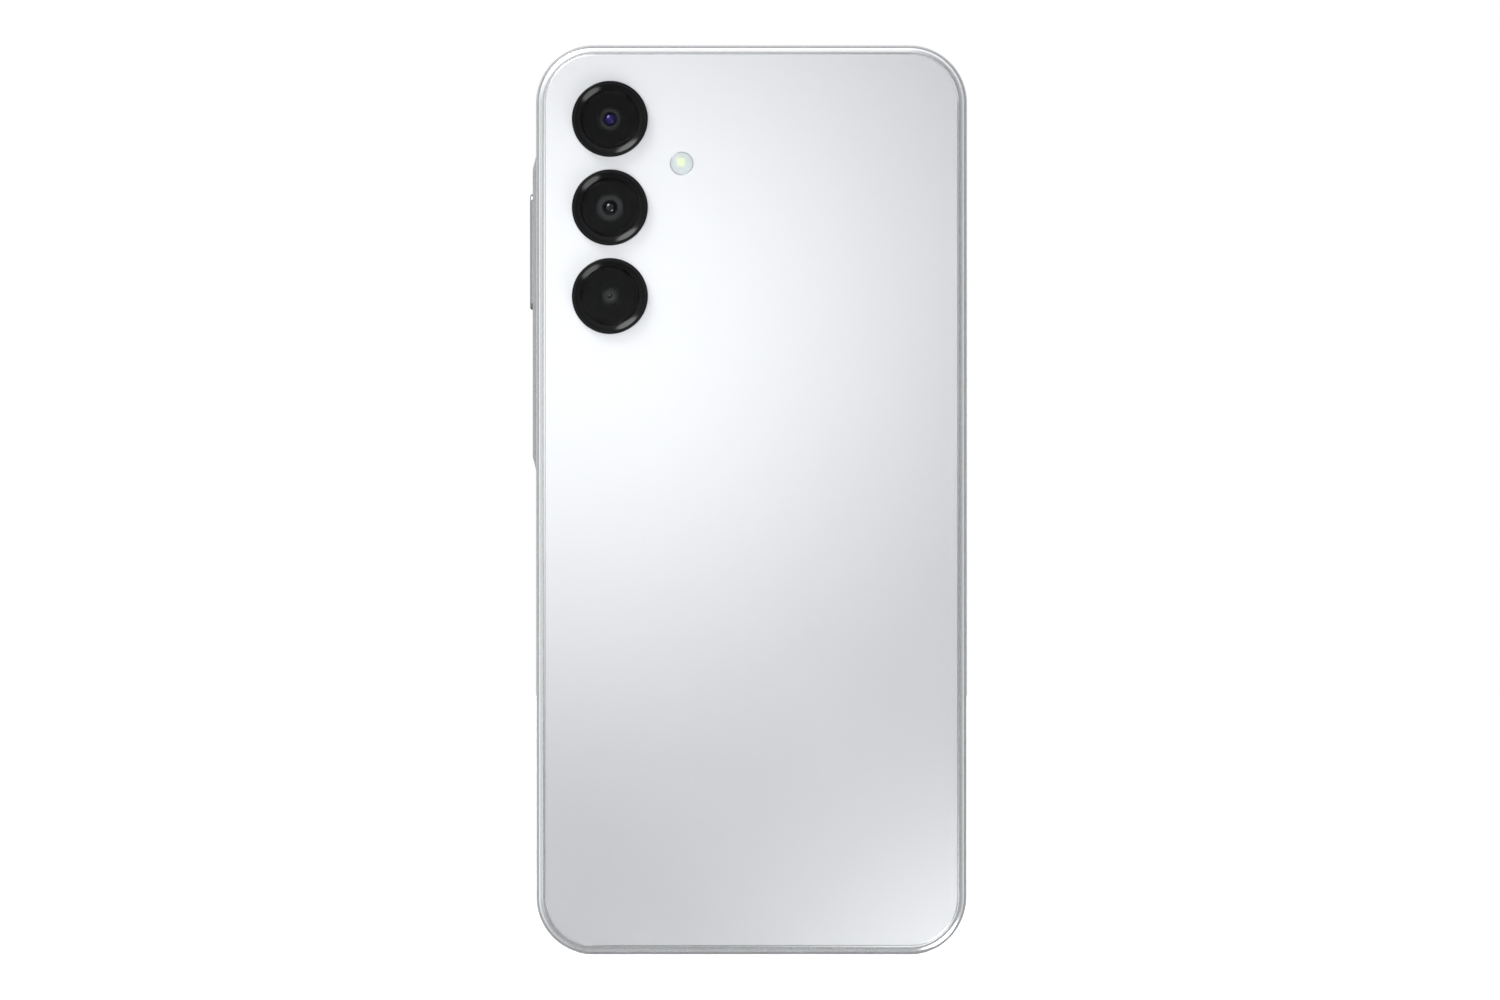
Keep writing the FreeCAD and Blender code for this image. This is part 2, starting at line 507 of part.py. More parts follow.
def makeRearCameras():
    ringProfile = [
        ("ringShoulder", "ringFoot"), ("ringNeck", "ringFoot"), ("ringNeck", "coverBack"),
        ("ringRadius", "coverBack"), ("ringRadius", "ringTop - ringEdge"), ("ringRadius - ringEdge", "ringTop"),
        ("ringBand", "ringTop"), ("ringBore", "windowBack + seatGap"), ("ringBore", "windowFront"),
        ("ringShoulder", "windowFront"),
    ]
    windowProfile = [("0", "windowFront"), ("windowRadius", "windowFront"), ("windowRadius", "windowBack"),
                     ("0", "windowBack")]
    # each camera's height, the place of its ring, and its housing's width, lens barrel's radius and top
    cameras = {
        "wide": ("cameraUpper", "upper", 8.0, 2.4, 3.9),
        "main": ("cameraMiddle", "middle", 9.5, 3.25, 4.1),
        "macro": ("cameraLower", "lower", 6.5, 1.9, 3.7),
    }
    for name, (spot, place, width, lens, top) in cameras.items():
        at = ("cameraSide", "0", spot)
        turned(newBody("camera_ring_" + place, at), ringProfile)
        turned(newBody("camera_window_" + place, at), windowProfile)

        housing = newBody(name + "_camera_housing", at)
        slab(housing, "block", "Y", "housingFoot", "housingTop", ("0", "0"), (width, width), "0.4")
        disc(housing, "collar", "Y", "housingTop", "collarTop", ("0", "0"), f"{lens} + collarWall")
        disc(housing, "bore", "Y", "boreFoot", "collarTop + cutterPast", ("0", "0"), f"{lens} + barrelPlay",
             "blind")
        # the barrel's front steps in to a rim round a shallow cone over the front lens
        turned(newBody(name + "_camera_lens", at), [
            ("0", "0"), (lens, "0"), (lens, top - 0.8), (lens - 0.5, top - 0.5), (lens - 0.5, top),
            (lens * 0.45, top), (lens * 0.3, top - 0.45), ("0", top - 0.3),
        ])


def makeFlash():
    at = ("flashSide", "0", "flashHeight")
    disc(newBody("flash_window", at), "disc", "Y", "coverFront", "coverBack", ("0", "0"), "flashRadius")
    slab(newBody("flash_led", at), "package", "Y", "bracketBack", "coverFront - 0.08", ("0", "0"),
         ("ledWidth", "ledWidth"), "0.2")


def makeFrontCamera():
    at = ("0", "0", "selfieHeight")
    housing = newBody("front_camera_housing", at)
    slab(housing, "block", "Y", "selfieFront", "selfieBack", ("0", "0"), ("selfieWidth", "selfieWidth"), "0.4")
    disc(housing, "bore", "Y", "selfieFront - cutterPast", "selfieBack - selfieFloor", ("0", "0"),
         "selfieLens + seatGap", "blind")
    foot = "selfieBack - selfieFloor - seatGap"
    turned(newBody("front_camera_lens", at), [
        ("0", "-3.05"), ("0.5", "-2.95"), ("0.9", "-3.25"), ("selfieLens - 0.3", "-3.25"),
        ("selfieLens", "-2.9"), ("selfieLens", foot), ("0", foot),
    ])


def makeMainBoard():
    front, back = "boardFront", "boardBack"
    body = newBody("main_board")
    boardPlate(body, front, back, "boardGap", above="mainBoardLow")
    window(body, "cameraRoom", front, back, "20.2", "31", "112", "156.4")
    window(body, "keyFlexRoom", front, back, "flexInside - 0.75", "38", "112", "flexHigh + 4")
    window(body, "earpieceRoom", front, back, "-17.5", "3.4", "153.9", "163")
    discs(body, "postHoles", "Y", front, back, upperPosts, "postRadius + postGap", "through")


def makeSubBoard():
    front, back = "boardFront", "boardBack"
    body = newBody("sub_board")
    boardPlate(body, front, back, "boardGap", below="subBoardHigh")
    window(body, "speakerRoom", front, back, "-40", "subBoardSide", "0", "30")
    window(body, "portRoom", front, back, "-4.8", "4.8", "0", "portEnd + 0.6")
    posts = [post for post in lowerPosts if post[0] > value("subBoardSide")]
    discs(body, "postHoles", "Y", front, back, posts, "postRadius + postGap", "through")
    disc(body, "motorRoom", "Y", front, back, ("motorSide", "motorHeight"), "motorRadius + 0.3", "through")


def makeBoardComponents():
    # pressed sheet-metal cans, open towards the board
    for label, side, height, width, tall in (
        ("processor_shield", 6.3, 128.6, 17, 19.6), ("radio_shield", -17.5, 123.0, 25, 8.8),
    ):
        can = newBody(label)
        slab(can, "outside", "Y", "boardBack", "shieldBack", (side, height), (width, tall), "0.6")
        slab(can, "inside", "Y", "boardBack - cutterPast", "shieldBack - sheetMetal", (side, height),
             (f"{width} - 2 * sheetMetal", f"{tall} - 2 * sheetMetal"), "0.4", "blind")
    slab(newBody("processor_chip"), "package", "Y", "boardBack", "boardBack + 1", (6.3, 129.5), (13, 13), "0.3")

    connectors = []
    for name, side, height, width, tall in (
        ("topRibbon", -3, 115.75, 8, 3.5), ("battery", 8, 115.75, 8, 3.5), ("keys", 32.2, 143, 2.4, 3),
        ("bottomRibbon", -3, 17.75, 8, 3.5), ("display", 11, 17.75, 8, 3.5),
    ):
        low = (side - width / 2, "boardBack", height - tall / 2)
        high = (side + width / 2, "connectorBack", height + tall / 2)
        connectors.append(box(name + "Connector", low, high))
    for name, side, height in (("lower", "cableLowSide", "cableStart - 1.3"),
                               ("upper", "cableHighSide", "cableEnd + 1.3")):
        connectors.append(standing(name + "CableSocket", side, height, "boardBack", "cableLevel + 0.6", "1.2"))
    group("board_connectors", connectors)

    microphones = []
    for name, side, low in (("top", "topMicSide", "phoneHeight - frameWall - 0.6 - micDepth"),
                            ("bottom", "bottomMicSide", "frameWall + 0.6")):
        corner = (f"{side} - micWidth / 2", "boardBack", low)
        far = (f"{side} + micWidth / 2", "boardBack + 1", f"{low} + micDepth")
        microphones.append(box(name + "Microphone", corner, far))
    group("microphones", microphones)


def makeMainRibbon():
    # steps from one board up over the battery and down to the other
    low, high = "connectorBack", "batteryBack + ribbonLift"
    inner = [(low, 16), (low, 20.4), (high, "batteryLow + 0.5"), (high, "batteryHigh - 0.5"), (low, 112.9),
             (low, 117.5)]
    outer = [(f"{level} + foilThick", spot) for level, spot in reversed(inner)]
    prism(newBody("main_flex"), "ribbon", "X", "-6.5", "0.5", inner + outer)


def makeCable():
    # the coaxial antenna cable lies in its channel between the battery and the wall, and steps aside once
    level, lowSide, highSide = value("cableLevel"), value("cableLowSide"), value("cableHighSide")
    corners = [Vector(lowSide, level, value("cableStart")), Vector(lowSide, level, 58),
               Vector(highSide, level, 74), Vector(highSide, level, value("cableEnd"))]
    bend, radius = value("cableBend"), value("cableRadius")
    edges = []
    start = corners[0]
    for before, corner, after in zip(corners, corners[1:], corners[2:]):
        incoming = (corner - before).normalize()
        outgoing = (after - corner).normalize()
        turn = incoming.getAngle(outgoing)
        reach = bend * math.tan(turn / 2)
        arcStart, arcEnd = corner - incoming * reach, corner + outgoing * reach
        inwards = (outgoing - incoming).normalize()
        arcMiddle = corner + inwards * (bend / math.cos(turn / 2) - bend)
        edges.append(Part.LineSegment(start, arcStart).toShape())
        edges.append(Part.Arc(arcStart, arcMiddle, arcEnd).toShape())
        start = arcEnd
    edges.append(Part.LineSegment(start, corners[-1]).toShape())
    path = Part.Wire(edges)
    section = Part.Wire(Part.makeCircle(radius, corners[0], Vector(0, 0, 1)))
    cable = doc.addObject("Part::Feature", "coax_cable")
    cable.Label = "coax_cable"
    cable.Shape = path.makePipeShell([section], True, False)
    cable.Placement = FreeCAD.Placement()
    share = cable.Shape.Volume / (math.pi * radius ** 2 * path.Length)
    print("antenna cable", round(path.Length, 2), "mm long, bends of", bend, "mm, volume ratio", round(share, 4))


def makeUpperBracket():
    front, back = "bracketFront", "bracketBack"
    body = newBody("upper_bracket")
    boardPlate(body, front, back, "bracketGap", above="upperBracketLow")
    for name, spot, half in (("wide", "cameraUpper", 4.4), ("main", "cameraMiddle", 5.1),
                             ("macro", "cameraLower", 3.6)):
        window(body, name + "Window", front, back, f"cameraSide - {half}", f"cameraSide + {half}",
               f"{spot} - {half}", f"{spot} + {half}")
    discs(body, "screwHoles", "Y", front, back, upperPosts, "shankClearance", "through")
    discs(body, "screwSeats", "Y", "headSeat", back + " + cutterPast", upperPosts, "headClearance", "blind")

    coil = newBody("nfc_coil")
    slab(coil, "outside", "Y", back, back + " + coilThick", ("-12", "135"), ("36", "30"), "4")
    slab(coil, "inside", "Y", back, back + " + coilThick", ("-12", "135"), ("28", "22"), "2.5", "through")


def makeLoudspeakerCase():
    # one moulding: the loudspeaker's box, and the bracket over the sub board
    front, back = "bracketFront", "bracketBack"
    body = newBody("loudspeaker_case")
    slab(body, "box", "Y", "speakerFront", "bracketFront + 0.1", speakerSpot,
         ("speakerWidth", "lowerBracketHigh - speakerLow"), "0.8")
    boardPlate(body, front, back, "bracketGap", below="lowerBracketHigh")
    slab(body, "chamber", "Y", "yokeFront", front, speakerSpot,
         ("speakerWidth - 2 * speakerWall", "lowerBracketHigh - speakerLow - 2 * speakerWall"), "0.5", "blind")
    slab(body, "mouth", "Z", "speakerLow", "speakerLow + speakerWall", ("speakerMiddle", "portLevel"),
         ("15.5", "1.6"), "0.6", "through")
    discs(body, "screwHoles", "Y", front, back, lowerPosts, "shankClearance", "through")
    discs(body, "screwSeats", "Y", "headSeat", back + " + cutterPast", lowerPosts, "headClearance", "blind")


def makeScrews():
    # cross-head machine screws: a blank of head and shank, less a cross
    screws = []
    for index, (side, height) in enumerate(upperPosts + lowerPosts):
        blank = doc.addObject("Part::Fuse", f"screwBlank{index}")
        blank.Base = standing(f"screwHead{index}", side, height, "headSeat", "headTop", "screwHead")
        blank.Tool = standing(f"screwShank{index}", side, height, "screwEnd", "headSeat", "screwRadius")
        bars = []
        for name, across, up in (("level", "crossLength", "crossWidth"), ("upright", "crossWidth", "crossLength")):
            low = (f"{side} - {across} / 2", "headTop - crossDepth", f"{height} - {up} / 2")
            high = (f"{side} + {across} / 2", "headTop + cutterPast", f"{height} + {up} / 2")
            bars.append(box(f"{name}Bar{index}", low, high))
        cross = doc.addObject("Part::Fuse", f"cross{index}")
        cross.Base, cross.Tool = bars
        screw = doc.addObject("Part::Cut", f"screw{index}")
        screw.Base, screw.Tool = blank, cross
        screws.append(screw)
    group("bracket_screws", screws)


def makeLoudspeaker():
    coilInside = ("coilWidth - 2 * coilWall", "coilHeight - 2 * coilWall")
    yoke = newBody("loudspeaker_magnet")
    slab(yoke, "block", "Y", "yokeFront", "yokeBack", speakerSpot, ("yokeWidth", "yokeHeight"), "1")
    slab(yoke, "well", "Y", "coneFront - coilDepth - coilTravel", "yokeBack + cutterPast", speakerSpot,
         ("coilWidth + 2 * coilGap", "coilHeight + 2 * coilGap"), "1.5", "blind")
    slab(yoke, "core", "Y", "yokeFront + 0.1", "yokeBack", speakerSpot,
         tuple(f"{length} - 2 * coilGap" for length in coilInside), "0.8")

    cone = newBody("loudspeaker_diaphragm")
    slab(cone, "sheet", "Y", "coneFront", "coneFront + coneThick", speakerSpot, ("coneWidth", "coneHeight"), "2")
    slab(cone, "coil", "Y", "coneFront - coilDepth", "coneFront", speakerSpot, ("coilWidth", "coilHeight"), "1.2")
    slab(cone, "coilInside", "Y", "coneFront - coilDepth - cutterPast", "coneFront", speakerSpot, coilInside,
         "0.8", "blind")

    slab(newBody("loudspeaker_mesh"), "strip", "Z", "frameWall", "frameWall + grilleThick",
         ("speakerMiddle", "portLevel"), ("coneWidth", "grilleWidth"), "0.6")


def makeEarpiece():
    spot = ("earpieceMiddle", "earpieceHeight")
    case = newBody("earpiece_case")
    slab(case, "box", "Y", "earpieceFront", "earpieceBack", spot, ("earpieceWidth", "earpieceDepth"), "0.8")
    slab(case, "chamber", "Y", "earpieceFront + earpieceWall", "earpieceBack - earpieceWall", spot,
         ("earpieceWidth - 2 * earpieceWall", "earpieceDepth - 2 * earpieceWall"), "0.6", "blind")
    top = "earpieceHeight + earpieceDepth / 2"
    slab(case, "mouth", "Z", f"{top} - earpieceWall", top, ("earpieceMiddle", "-1.25"), ("8", "0.5"), "0.2",
         "through")
    floor = "earpieceBack - earpieceWall"
    slab(newBody("earpiece_magnet"), "block", "Y", f"{floor} - 0.9", floor, spot, ("7", "3"), "0.3")
    slab(newBody("earpiece_diaphragm"), "sheet", "Y", "-0.75", "-0.62", spot, ("10.6", "4.6"), "0.8")
    slab(newBody("earpiece_mesh"), "strip", "Y", "grilleFront", "grilleBack", ("0", "(grilleLow + grilleHigh) / 2"),
         ("2 * slitHalf - 0.4", "grilleHigh - grilleLow"), "0.2")


def makeMotor():
    # a flat coin motor: a closed can with a fixed shaft, and a half-moon weight that turns on it
    at = ("motorSide", "0", "motorHeight")
    centre = ("0", "0")
    can = newBody("motor_can", at)
    disc(can, "outside", "Y", "motorFront", "motorBack", centre, "motorRadius")
    disc(can, "inside", "Y", "motorFront + motorWall", "motorBack - motorWall", centre, "motorRadius - motorWall",
         "blind")
    disc(can, "shaft", "Y", "motorFront + motorWall / 2", "motorBack - motorWall / 2", centre, "motorShaft")
    rotor = newBody("motor_rotor", at)
    disc(rotor, "weight", "Y", "rotorFront", "rotorBack", centre, "rotorRadius")
    window(rotor, "lightSide", "rotorFront", "rotorBack", "-rotorRadius - 1", "rotorRadius + 1", "0",
           "rotorRadius + 1", "0")
    disc(rotor, "hub", "Y", "rotorFront", "rotorBack", centre, "rotorHub")
    disc(rotor, "bore", "Y", "rotorFront", "rotorBack", centre, "motorShaft + shaftGap", "through")


def makeBattery():
    cell = newBody("battery_cell")
    pouch = slab(cell, "pouch", "Y", "batteryFront", "batteryBack",
                 ("batteryMiddle", "(batteryLow + batteryHigh) / 2"),
                 ("batteryWidth", "batteryHigh - batteryLow"), "2.5")
    roundEdges(cell, "backEdge", pouch, "Y", "batteryBack", "batteryRounding")
    board = newBody("battery_board")
    slab(board, "strip", "Y", "-1.7", "0.6", ("batteryMiddle", "batteryHigh + 1.9"), ("56", "3.2"), "0.3")
    slab(board, "lead", "Y", "connectorBack", "connectorBack + foilThick", ("8", "batteryHigh + 6.5"), ("8", "7"))


def makeCardTray():
    outside, neck = "-phoneWidth / 2", "(headThick - phoneWidth / 2)"
    low, high = "trayLevel - trayThick / 2", "trayLevel + trayThick / 2"
    tray = newBody("sim_tray")
    head = slab(tray, "head", "X", outside, neck, ("trayLevel", "headMiddle"), ("headWidth", "headLength"),
                "headWidth / 2 - 0.01")
    roundEdges(tray, "headEdge", head, "X", outside, "0.15")
    slab(tray, "plate", "Y", low, high, (f"({neck} + trayEnd) / 2", "trayMiddle"),
         (f"trayEnd - {neck}", "trayWidth"), "0.3")
    # a recess with a window in its floor for each card: across, then up, in the card's own size
    for name, side, across, up in (("memory", -27.9, 15.4, 11.2), ("sim", -14.4, 9.0, 12.5)):
        slab(tray, name + "Recess", "Y", f"{low} + recessFloor", f"{high} + cutterPast", (side, "trayMiddle"),
             (across, up), "0.6", "blind")
        slab(tray, name + "Window", "Y", low, high, (side, "trayMiddle"), (across - 3, up - 3), "0.6", "through")
    disc(tray, "ejectHole", "X", outside, neck, ("trayLevel", "ejectHeight"), "ejectRadius", "through")

    gasket = newBody("sim_tray_gasket")
    slab(gasket, "outside", "X", "gasketOutside", "gasketInside", ("trayLevel", "trayMiddle"),
         ("trayThick + 2 * gasketThick", "trayWidth + 2 * gasketThick"), "0.5")
    slab(gasket, "inside", "X", "gasketOutside", "gasketInside", ("trayLevel", "trayMiddle"),
         ("trayThick + 2 * gasketPlay", "trayWidth + 2 * gasketPlay"), 0, "through")


def makeCardSocket():
    # a sheet-metal sleeve, open at its outer end, with the lever's pivot pin between its two faces
    inner = ("boardBack + sheetMetal", "socketBack - sheetMetal")
    socket = newBody("sim_socket")
    slab(socket, "outside", "Y", "boardBack", "socketBack",
         ("(socketInside + socketOutside) / 2", "(socketHigh + socketLow) / 2"),
         ("socketInside - (socketOutside)", "socketHigh - socketLow"), "0.3")
    slab(socket, "inside", "Y", *inner,
         ("(socketInside - socketWall + socketOutside - 0.7) / 2", "(socketHigh + socketLow) / 2"),
         ("socketInside - socketWall - (socketOutside - 0.7)", "socketHigh - socketLow - 2 * socketWall"),
         0, "blind")
    disc(socket, "pivot", "Y", inner[0] + " - sheetMetal / 2", inner[1] + " + sheetMetal / 2",
         ("pivotSide", "pivotHeight"), "pivotRadius")

    disc(newBody("eject_rod"), "rod", "X", "rodOutside", "rodInside", ("trayLevel", "ejectHeight"), "rodRadius")

    lever = newBody("eject_lever")
    front, back = "trayLevel - leverThick / 2", "trayLevel + leverThick / 2"
    slab(lever, "arm", "Y", front, back, ("pivotSide", "(leverHigh + leverLow) / 2"),
         ("leverWidth", "leverHigh - leverLow"), "0.1")
    disc(lever, "bore", "Y", front, back, ("pivotSide", "pivotHeight"), "pivotRadius + pivotGap", "through")


def makeChargingPort():
    centre = ("0", "portLevel")
    shell = newBody("usb_c_shell")
    slab(shell, "outside", "Z", "portMouth", "portEnd", centre,
         ("portWidth + 2 * portWall", "portThick + 2 * portWall"), "portThick / 2 + portWall - 0.01")
    slab(shell, "inside", "Z", "portMouth", "portEnd", centre, ("portWidth", "portThick"),
         "portThick / 2 - 0.01", "through")
    tongue = newBody("usb_c_tongue")
    slab(tongue, "base", "Z", "tongueRoot", "portEnd - 0.1", centre, ("portWidth - 0.04", "portThick - 0.04"),
         "portThick / 2 - 0.04")
    slab(tongue, "blade", "Z", "tongueTip", "tongueRoot", centre, ("tongueWidth", "tongueThick"), "0.3")


makeSideFrame()
makeBackCover()
makeTapes()
makeFrontGlass()
makeDisplay()
makeDisplayRibbon()
makeMidPlate()
makeKeys()
makeKeyFlex()
makeRearCameras()
makeFlash()
makeFrontCamera()
makeMainBoard()
makeSubBoard()
makeBoardComponents()
makeMainRibbon()
makeCable()
makeUpperBracket()
makeLoudspeakerCase()
makeScrews()
makeLoudspeaker()
makeEarpiece()
makeMotor()
makeBattery()
makeCardTray()
makeCardSocket()
makeChargingPort()
doc.recompute()

nodes = [item for item in doc.Objects if item.TypeId in ("PartDesign::Body", "Part::Compound")]
nodes.append(doc.getObject("coax_cable"))
faults = [item.Name + " failed" for item in doc.Objects if "Invalid" in item.State or "Error" in item.State]
for item in doc.Objects:
    if item.TypeId == "PartDesign::Pocket" and item.BaseFeature.Shape.Volume - item.Shape.Volume < 1e-6:
        faults.append(item.Name + " cuts nothing")
for node in nodes:
    if node.Shape.isNull() or not node.Shape.isValid():
        faults.append(node.Label + " is not a valid shape")
if faults:
    raise RuntimeError(", ".join(faults))

os.makedirs("parts", exist_ok=True)
for node in nodes:
    node.Shape.exportStep(os.path.join("parts", node.Label + ".step"))
print(len(nodes), "nodes,", sum(len(node.Shape.Solids) for node in nodes), "solids")
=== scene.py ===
import bmesh
import bpy
import math
from mathutils import Matrix, Vector


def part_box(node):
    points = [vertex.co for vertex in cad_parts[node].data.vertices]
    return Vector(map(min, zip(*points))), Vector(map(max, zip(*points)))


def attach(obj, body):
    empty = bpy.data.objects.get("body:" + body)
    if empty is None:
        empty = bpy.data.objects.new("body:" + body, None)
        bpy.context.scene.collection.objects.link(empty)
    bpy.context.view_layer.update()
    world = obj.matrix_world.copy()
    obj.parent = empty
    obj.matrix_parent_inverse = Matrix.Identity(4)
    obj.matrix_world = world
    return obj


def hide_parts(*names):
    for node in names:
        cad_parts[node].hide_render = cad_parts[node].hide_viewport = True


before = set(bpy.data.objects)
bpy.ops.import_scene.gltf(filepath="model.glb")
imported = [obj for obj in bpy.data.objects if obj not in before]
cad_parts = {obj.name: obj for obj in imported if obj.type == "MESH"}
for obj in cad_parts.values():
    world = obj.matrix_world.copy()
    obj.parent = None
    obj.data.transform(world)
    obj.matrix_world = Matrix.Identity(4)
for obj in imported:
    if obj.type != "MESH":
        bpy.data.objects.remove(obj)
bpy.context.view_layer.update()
print("loaded", len(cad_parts), "CAD nodes")

mm = 0.001  # shapes are made in millimetres and scaled once at the end
samePoint = 1e-4  # millimetres: points closer than this are one point
phone = {"width": 77.9, "height": 164.4, "corner": 10.4, "front": -3.8, "back": 3.9, "wall": 3.1}
middleZ = phone["height"] / 2


def linear(hexTone):
    parts = [int(hexTone[at:at + 2], 16) / 255 for at in (1, 3, 5)]
    return [part / 12.92 if part <= 0.04045 else ((part + 0.055) / 1.055) ** 2.4 for part in parts] + [1.0]


def addNode(tree, kind, links=None, **settings):
    # one node, with its settings and what goes into each of its sockets
    node = tree.nodes.new("ShaderNode" + kind)
    for key, setting in settings.items():
        setattr(node, key, setting)
    for socket, source in (links or {}).items():
        if isinstance(source, bpy.types.NodeSocket):
            tree.links.new(source, node.inputs[socket])
        else:
            node.inputs[socket].default_value = source
    return node


grainLook = {
    "broadTimes": 30,  # the broad changes of a finish are this many times coarser than its grain
    "detail": 3.0,
    "usualLow": 0.25, "usualHigh": 0.75,  # where nearly all of the noise lies
}


def surface(name, tone, metallic=0.0, roughness=0.4, grain=0.5, depth=0.004, shift=0.05, roughShift=0.06,
            stretch=(1, 1, 1), **sockets):
    # a finish with its grain in millimetres: small changes of tone, gloss and height
    material = bpy.data.materials.new(name)
    material.use_nodes = True
    tree = material.node_tree
    shader = tree.nodes["Principled BSDF"]
    place = addNode(tree, "TexCoord")
    spread = addNode(tree, "Mapping", {"Vector": place.outputs["Object"], "Scale": stretch})
    fine = addNode(tree, "TexNoise", {"Vector": spread.outputs[0], "Scale": 1 / (grain * mm),
                                      "Detail": grainLook["detail"]})
    broad = addNode(tree, "TexNoise", {"Vector": spread.outputs[0],
                                       "Scale": 1 / (grain * grainLook["broadTimes"] * mm)})
    both = addNode(tree, "Math", {0: fine.outputs["Fac"], 1: broad.outputs["Fac"]}, operation="ADD")
    half = addNode(tree, "Math", {0: both.outputs[0], 1: 0.5}, operation="MULTIPLY")
    colour = linear(tone)
    dark = [part * (1 - shift) for part in colour[:3]] + [1]
    light = [min(1, part * (1 + shift)) for part in colour[:3]] + [1]
    mixed = addNode(tree, "Mix", {0: half.outputs[0], 6: dark, 7: light}, data_type="RGBA")
    gloss = addNode(tree, "MapRange", {"Value": half.outputs[0], "From Min": grainLook["usualLow"],
                                       "From Max": grainLook["usualHigh"],
                                       "To Min": max(0, roughness - roughShift),
                                       "To Max": min(1, roughness + roughShift)})
    bump = addNode(tree, "Bump", {"Height": fine.outputs["Fac"], "Distance": depth * mm, "Strength": 1.0})
    tree.links.new(mixed.outputs[2], shader.inputs["Base Color"])
    tree.links.new(gloss.outputs[0], shader.inputs["Roughness"])
    tree.links.new(bump.outputs[0], shader.inputs["Normal"])
    shader.inputs["Metallic"].default_value = metallic
    for socket, setting in sockets.items():
        shader.inputs[socket.replace("_", " ")].default_value = setting
    return material


def nodesOf(material):
    # the tree of a finish, its shader and the place of each point on the piece
    tree = material.node_tree
    found = {node.bl_idname: node for node in tree.nodes}
    return tree, found["ShaderNodeBsdfPrincipled"], found["ShaderNodeTexCoord"]


def overlay(material, mask, tone):
    # another colour wherever the mask is 1
    tree, shader, _ = nodesOf(material)
    under = shader.inputs["Base Color"].links[0].from_socket
    mixed = addNode(tree, "Mix", {0: mask, 6: under, 7: linear(tone)}, data_type="RGBA")
    tree.links.new(mixed.outputs[2], shader.inputs["Base Color"])


def raiseBump(material, height, depth):
    # one more layer of relief on top of the grain
    tree, shader, _ = nodesOf(material)
    last = shader.inputs["Normal"].links[0].from_socket
    extra = addNode(tree, "Bump", {"Height": height, "Distance": depth * mm, "Strength": 1.0,
                                   "Normal": last})
    tree.links.new(extra.outputs[0], shader.inputs["Normal"])


# satin paint on moulded polycarbonate: soft metallic sheen without visible flakes
framePaint = surface("satinSilverPaint", "#DCDEE0", 0.87, 0.22, grain=0.8, depth=0.00012, shift=0.01,
                     roughShift=0.02, Coat_Weight=0.3, Coat_Roughness=0.1)
# pearl coating printed under clear polycarbonate: an even silver with a polished front
coverPearl = surface("pearlUnderClearCoat", "#E4E6E9", 0.85, 0.30, grain=0.7, depth=0.0003, shift=0.008,
                     roughShift=0.01, Coat_Weight=0.35, Coat_Roughness=0.06, Coat_IOR=1.49)
# satin lacquer on the volume key: as soft a sheen as the frame's paint, its tone darkened as painted shade
# for the key's recessed place in the frame
keyPaintWithPaintedShade = surface("satinKeyPaintWithPaintedShade", "#A8AAAD", 0.9, 0.22, grain=0.6, depth=0.0001, shift=0.01,
                   roughShift=0.02, Coat_Weight=0.1, Coat_Roughness=0.1)
# hard lacquer over the fingerprint sensor: duller than the volume key and as dark as it, the darkness being
# painted shade for the key's recessed place
sensorLacquerWithPaintedShade = surface("sensorLacquerWithPaintedShade", "#A5A7AA", 0.85, 0.3, grain=0.35, depth=0.0003, shift=0.02,
                        roughShift=0.03)
# black anodised aluminium, turned and polished: near black with sharp highlights
ringBlack = surface("blackAnodisedAluminium", "#0A0A0B", 0.0, 0.14, grain=0.5, depth=0.0004, shift=0.1,
                    roughShift=0.02, IOR=1.5, Specular_IOR_Level=0.1)
# ink printed on the underside of the camera glass: a flat black that mirrors nothing
maskInk = surface("blackPrintedInk", "#040404", 0.0, 0.5, grain=0.3, depth=0.001, shift=0.1, IOR=1.3,
                  Specular_IOR_Level=0.0)
# moulded liner round each lens, with the faint grey of textured plastic
baffleGrey = surface("texturedBaffle", "#1A1B1C", 0.0, 0.55, grain=0.18, depth=0.006, shift=0.12,
                     Specular_IOR_Level=0.1)
# moulded black nylon: a dull near black
barrelBlack = surface("lensBarrelNylon", "#0D0D0E", 0.0, 0.5, grain=0.2, depth=0.004, shift=0.12)
# dull flocked liner that swallows light round the front lens
linerBlack = surface("blackenedLiner", "#050505", 0.0, 0.7, grain=0.2, depth=0.004, shift=0.12,
                     Specular_IOR_Level=0.05)


def thinGlass(name, tone, shine):
    # a clear pane: lets the light straight through and mirrors a small share of it, with faint wipe marks
    return surface(name, tone, 1.0, 0.02, grain=6.0, depth=0.0001, shift=0.01, roughShift=0.01, Alpha=shine)


# camera glass with an anti-reflection coat, which hardly shines
cameraGlass = thinGlass("antiReflectionGlass", "#E8EAEC", 0.004)
# toughened front glass: a soft mirror over the dark panel
frontClear = thinGlass("toughenedGlass", "#F2F4F5", 0.055)

# coated lens glass: near black, with a violet, a neutral or a bluish shine
lensCoats = {
    "wide": surface("violetCoatedLens", "#120C38", 0.0, 0.12, grain=4.0, depth=0.0001, shift=0.1,
                    roughShift=0.02, IOR=1.5, Specular_IOR_Level=0.6, Specular_Tint=(0.5, 0.42, 1.0, 1.0)),
    "main": surface("neutralCoatedLens", "#030304", 0.0, 0.05, grain=4.0, depth=0.0001, shift=0.1,
                    roughShift=0.01, IOR=1.5, Specular_IOR_Level=0.6, Specular_Tint=(0.9, 0.87, 0.95, 1.0)),
    "macro": surface("smallCoatedLens", "#050506", 0.0, 0.05, grain=4.0, depth=0.0001, shift=0.1,
                     roughShift=0.01, IOR=2.0),
    "front": surface("selfieCoatedLens", "#070A16", 0.0, 0.03, grain=4.0, depth=0.0001, shift=0.1,
                     roughShift=0.01, IOR=1.8, Specular_Tint=(0.6, 0.7, 1.0, 1.0), Coat_Weight=0.2),
}

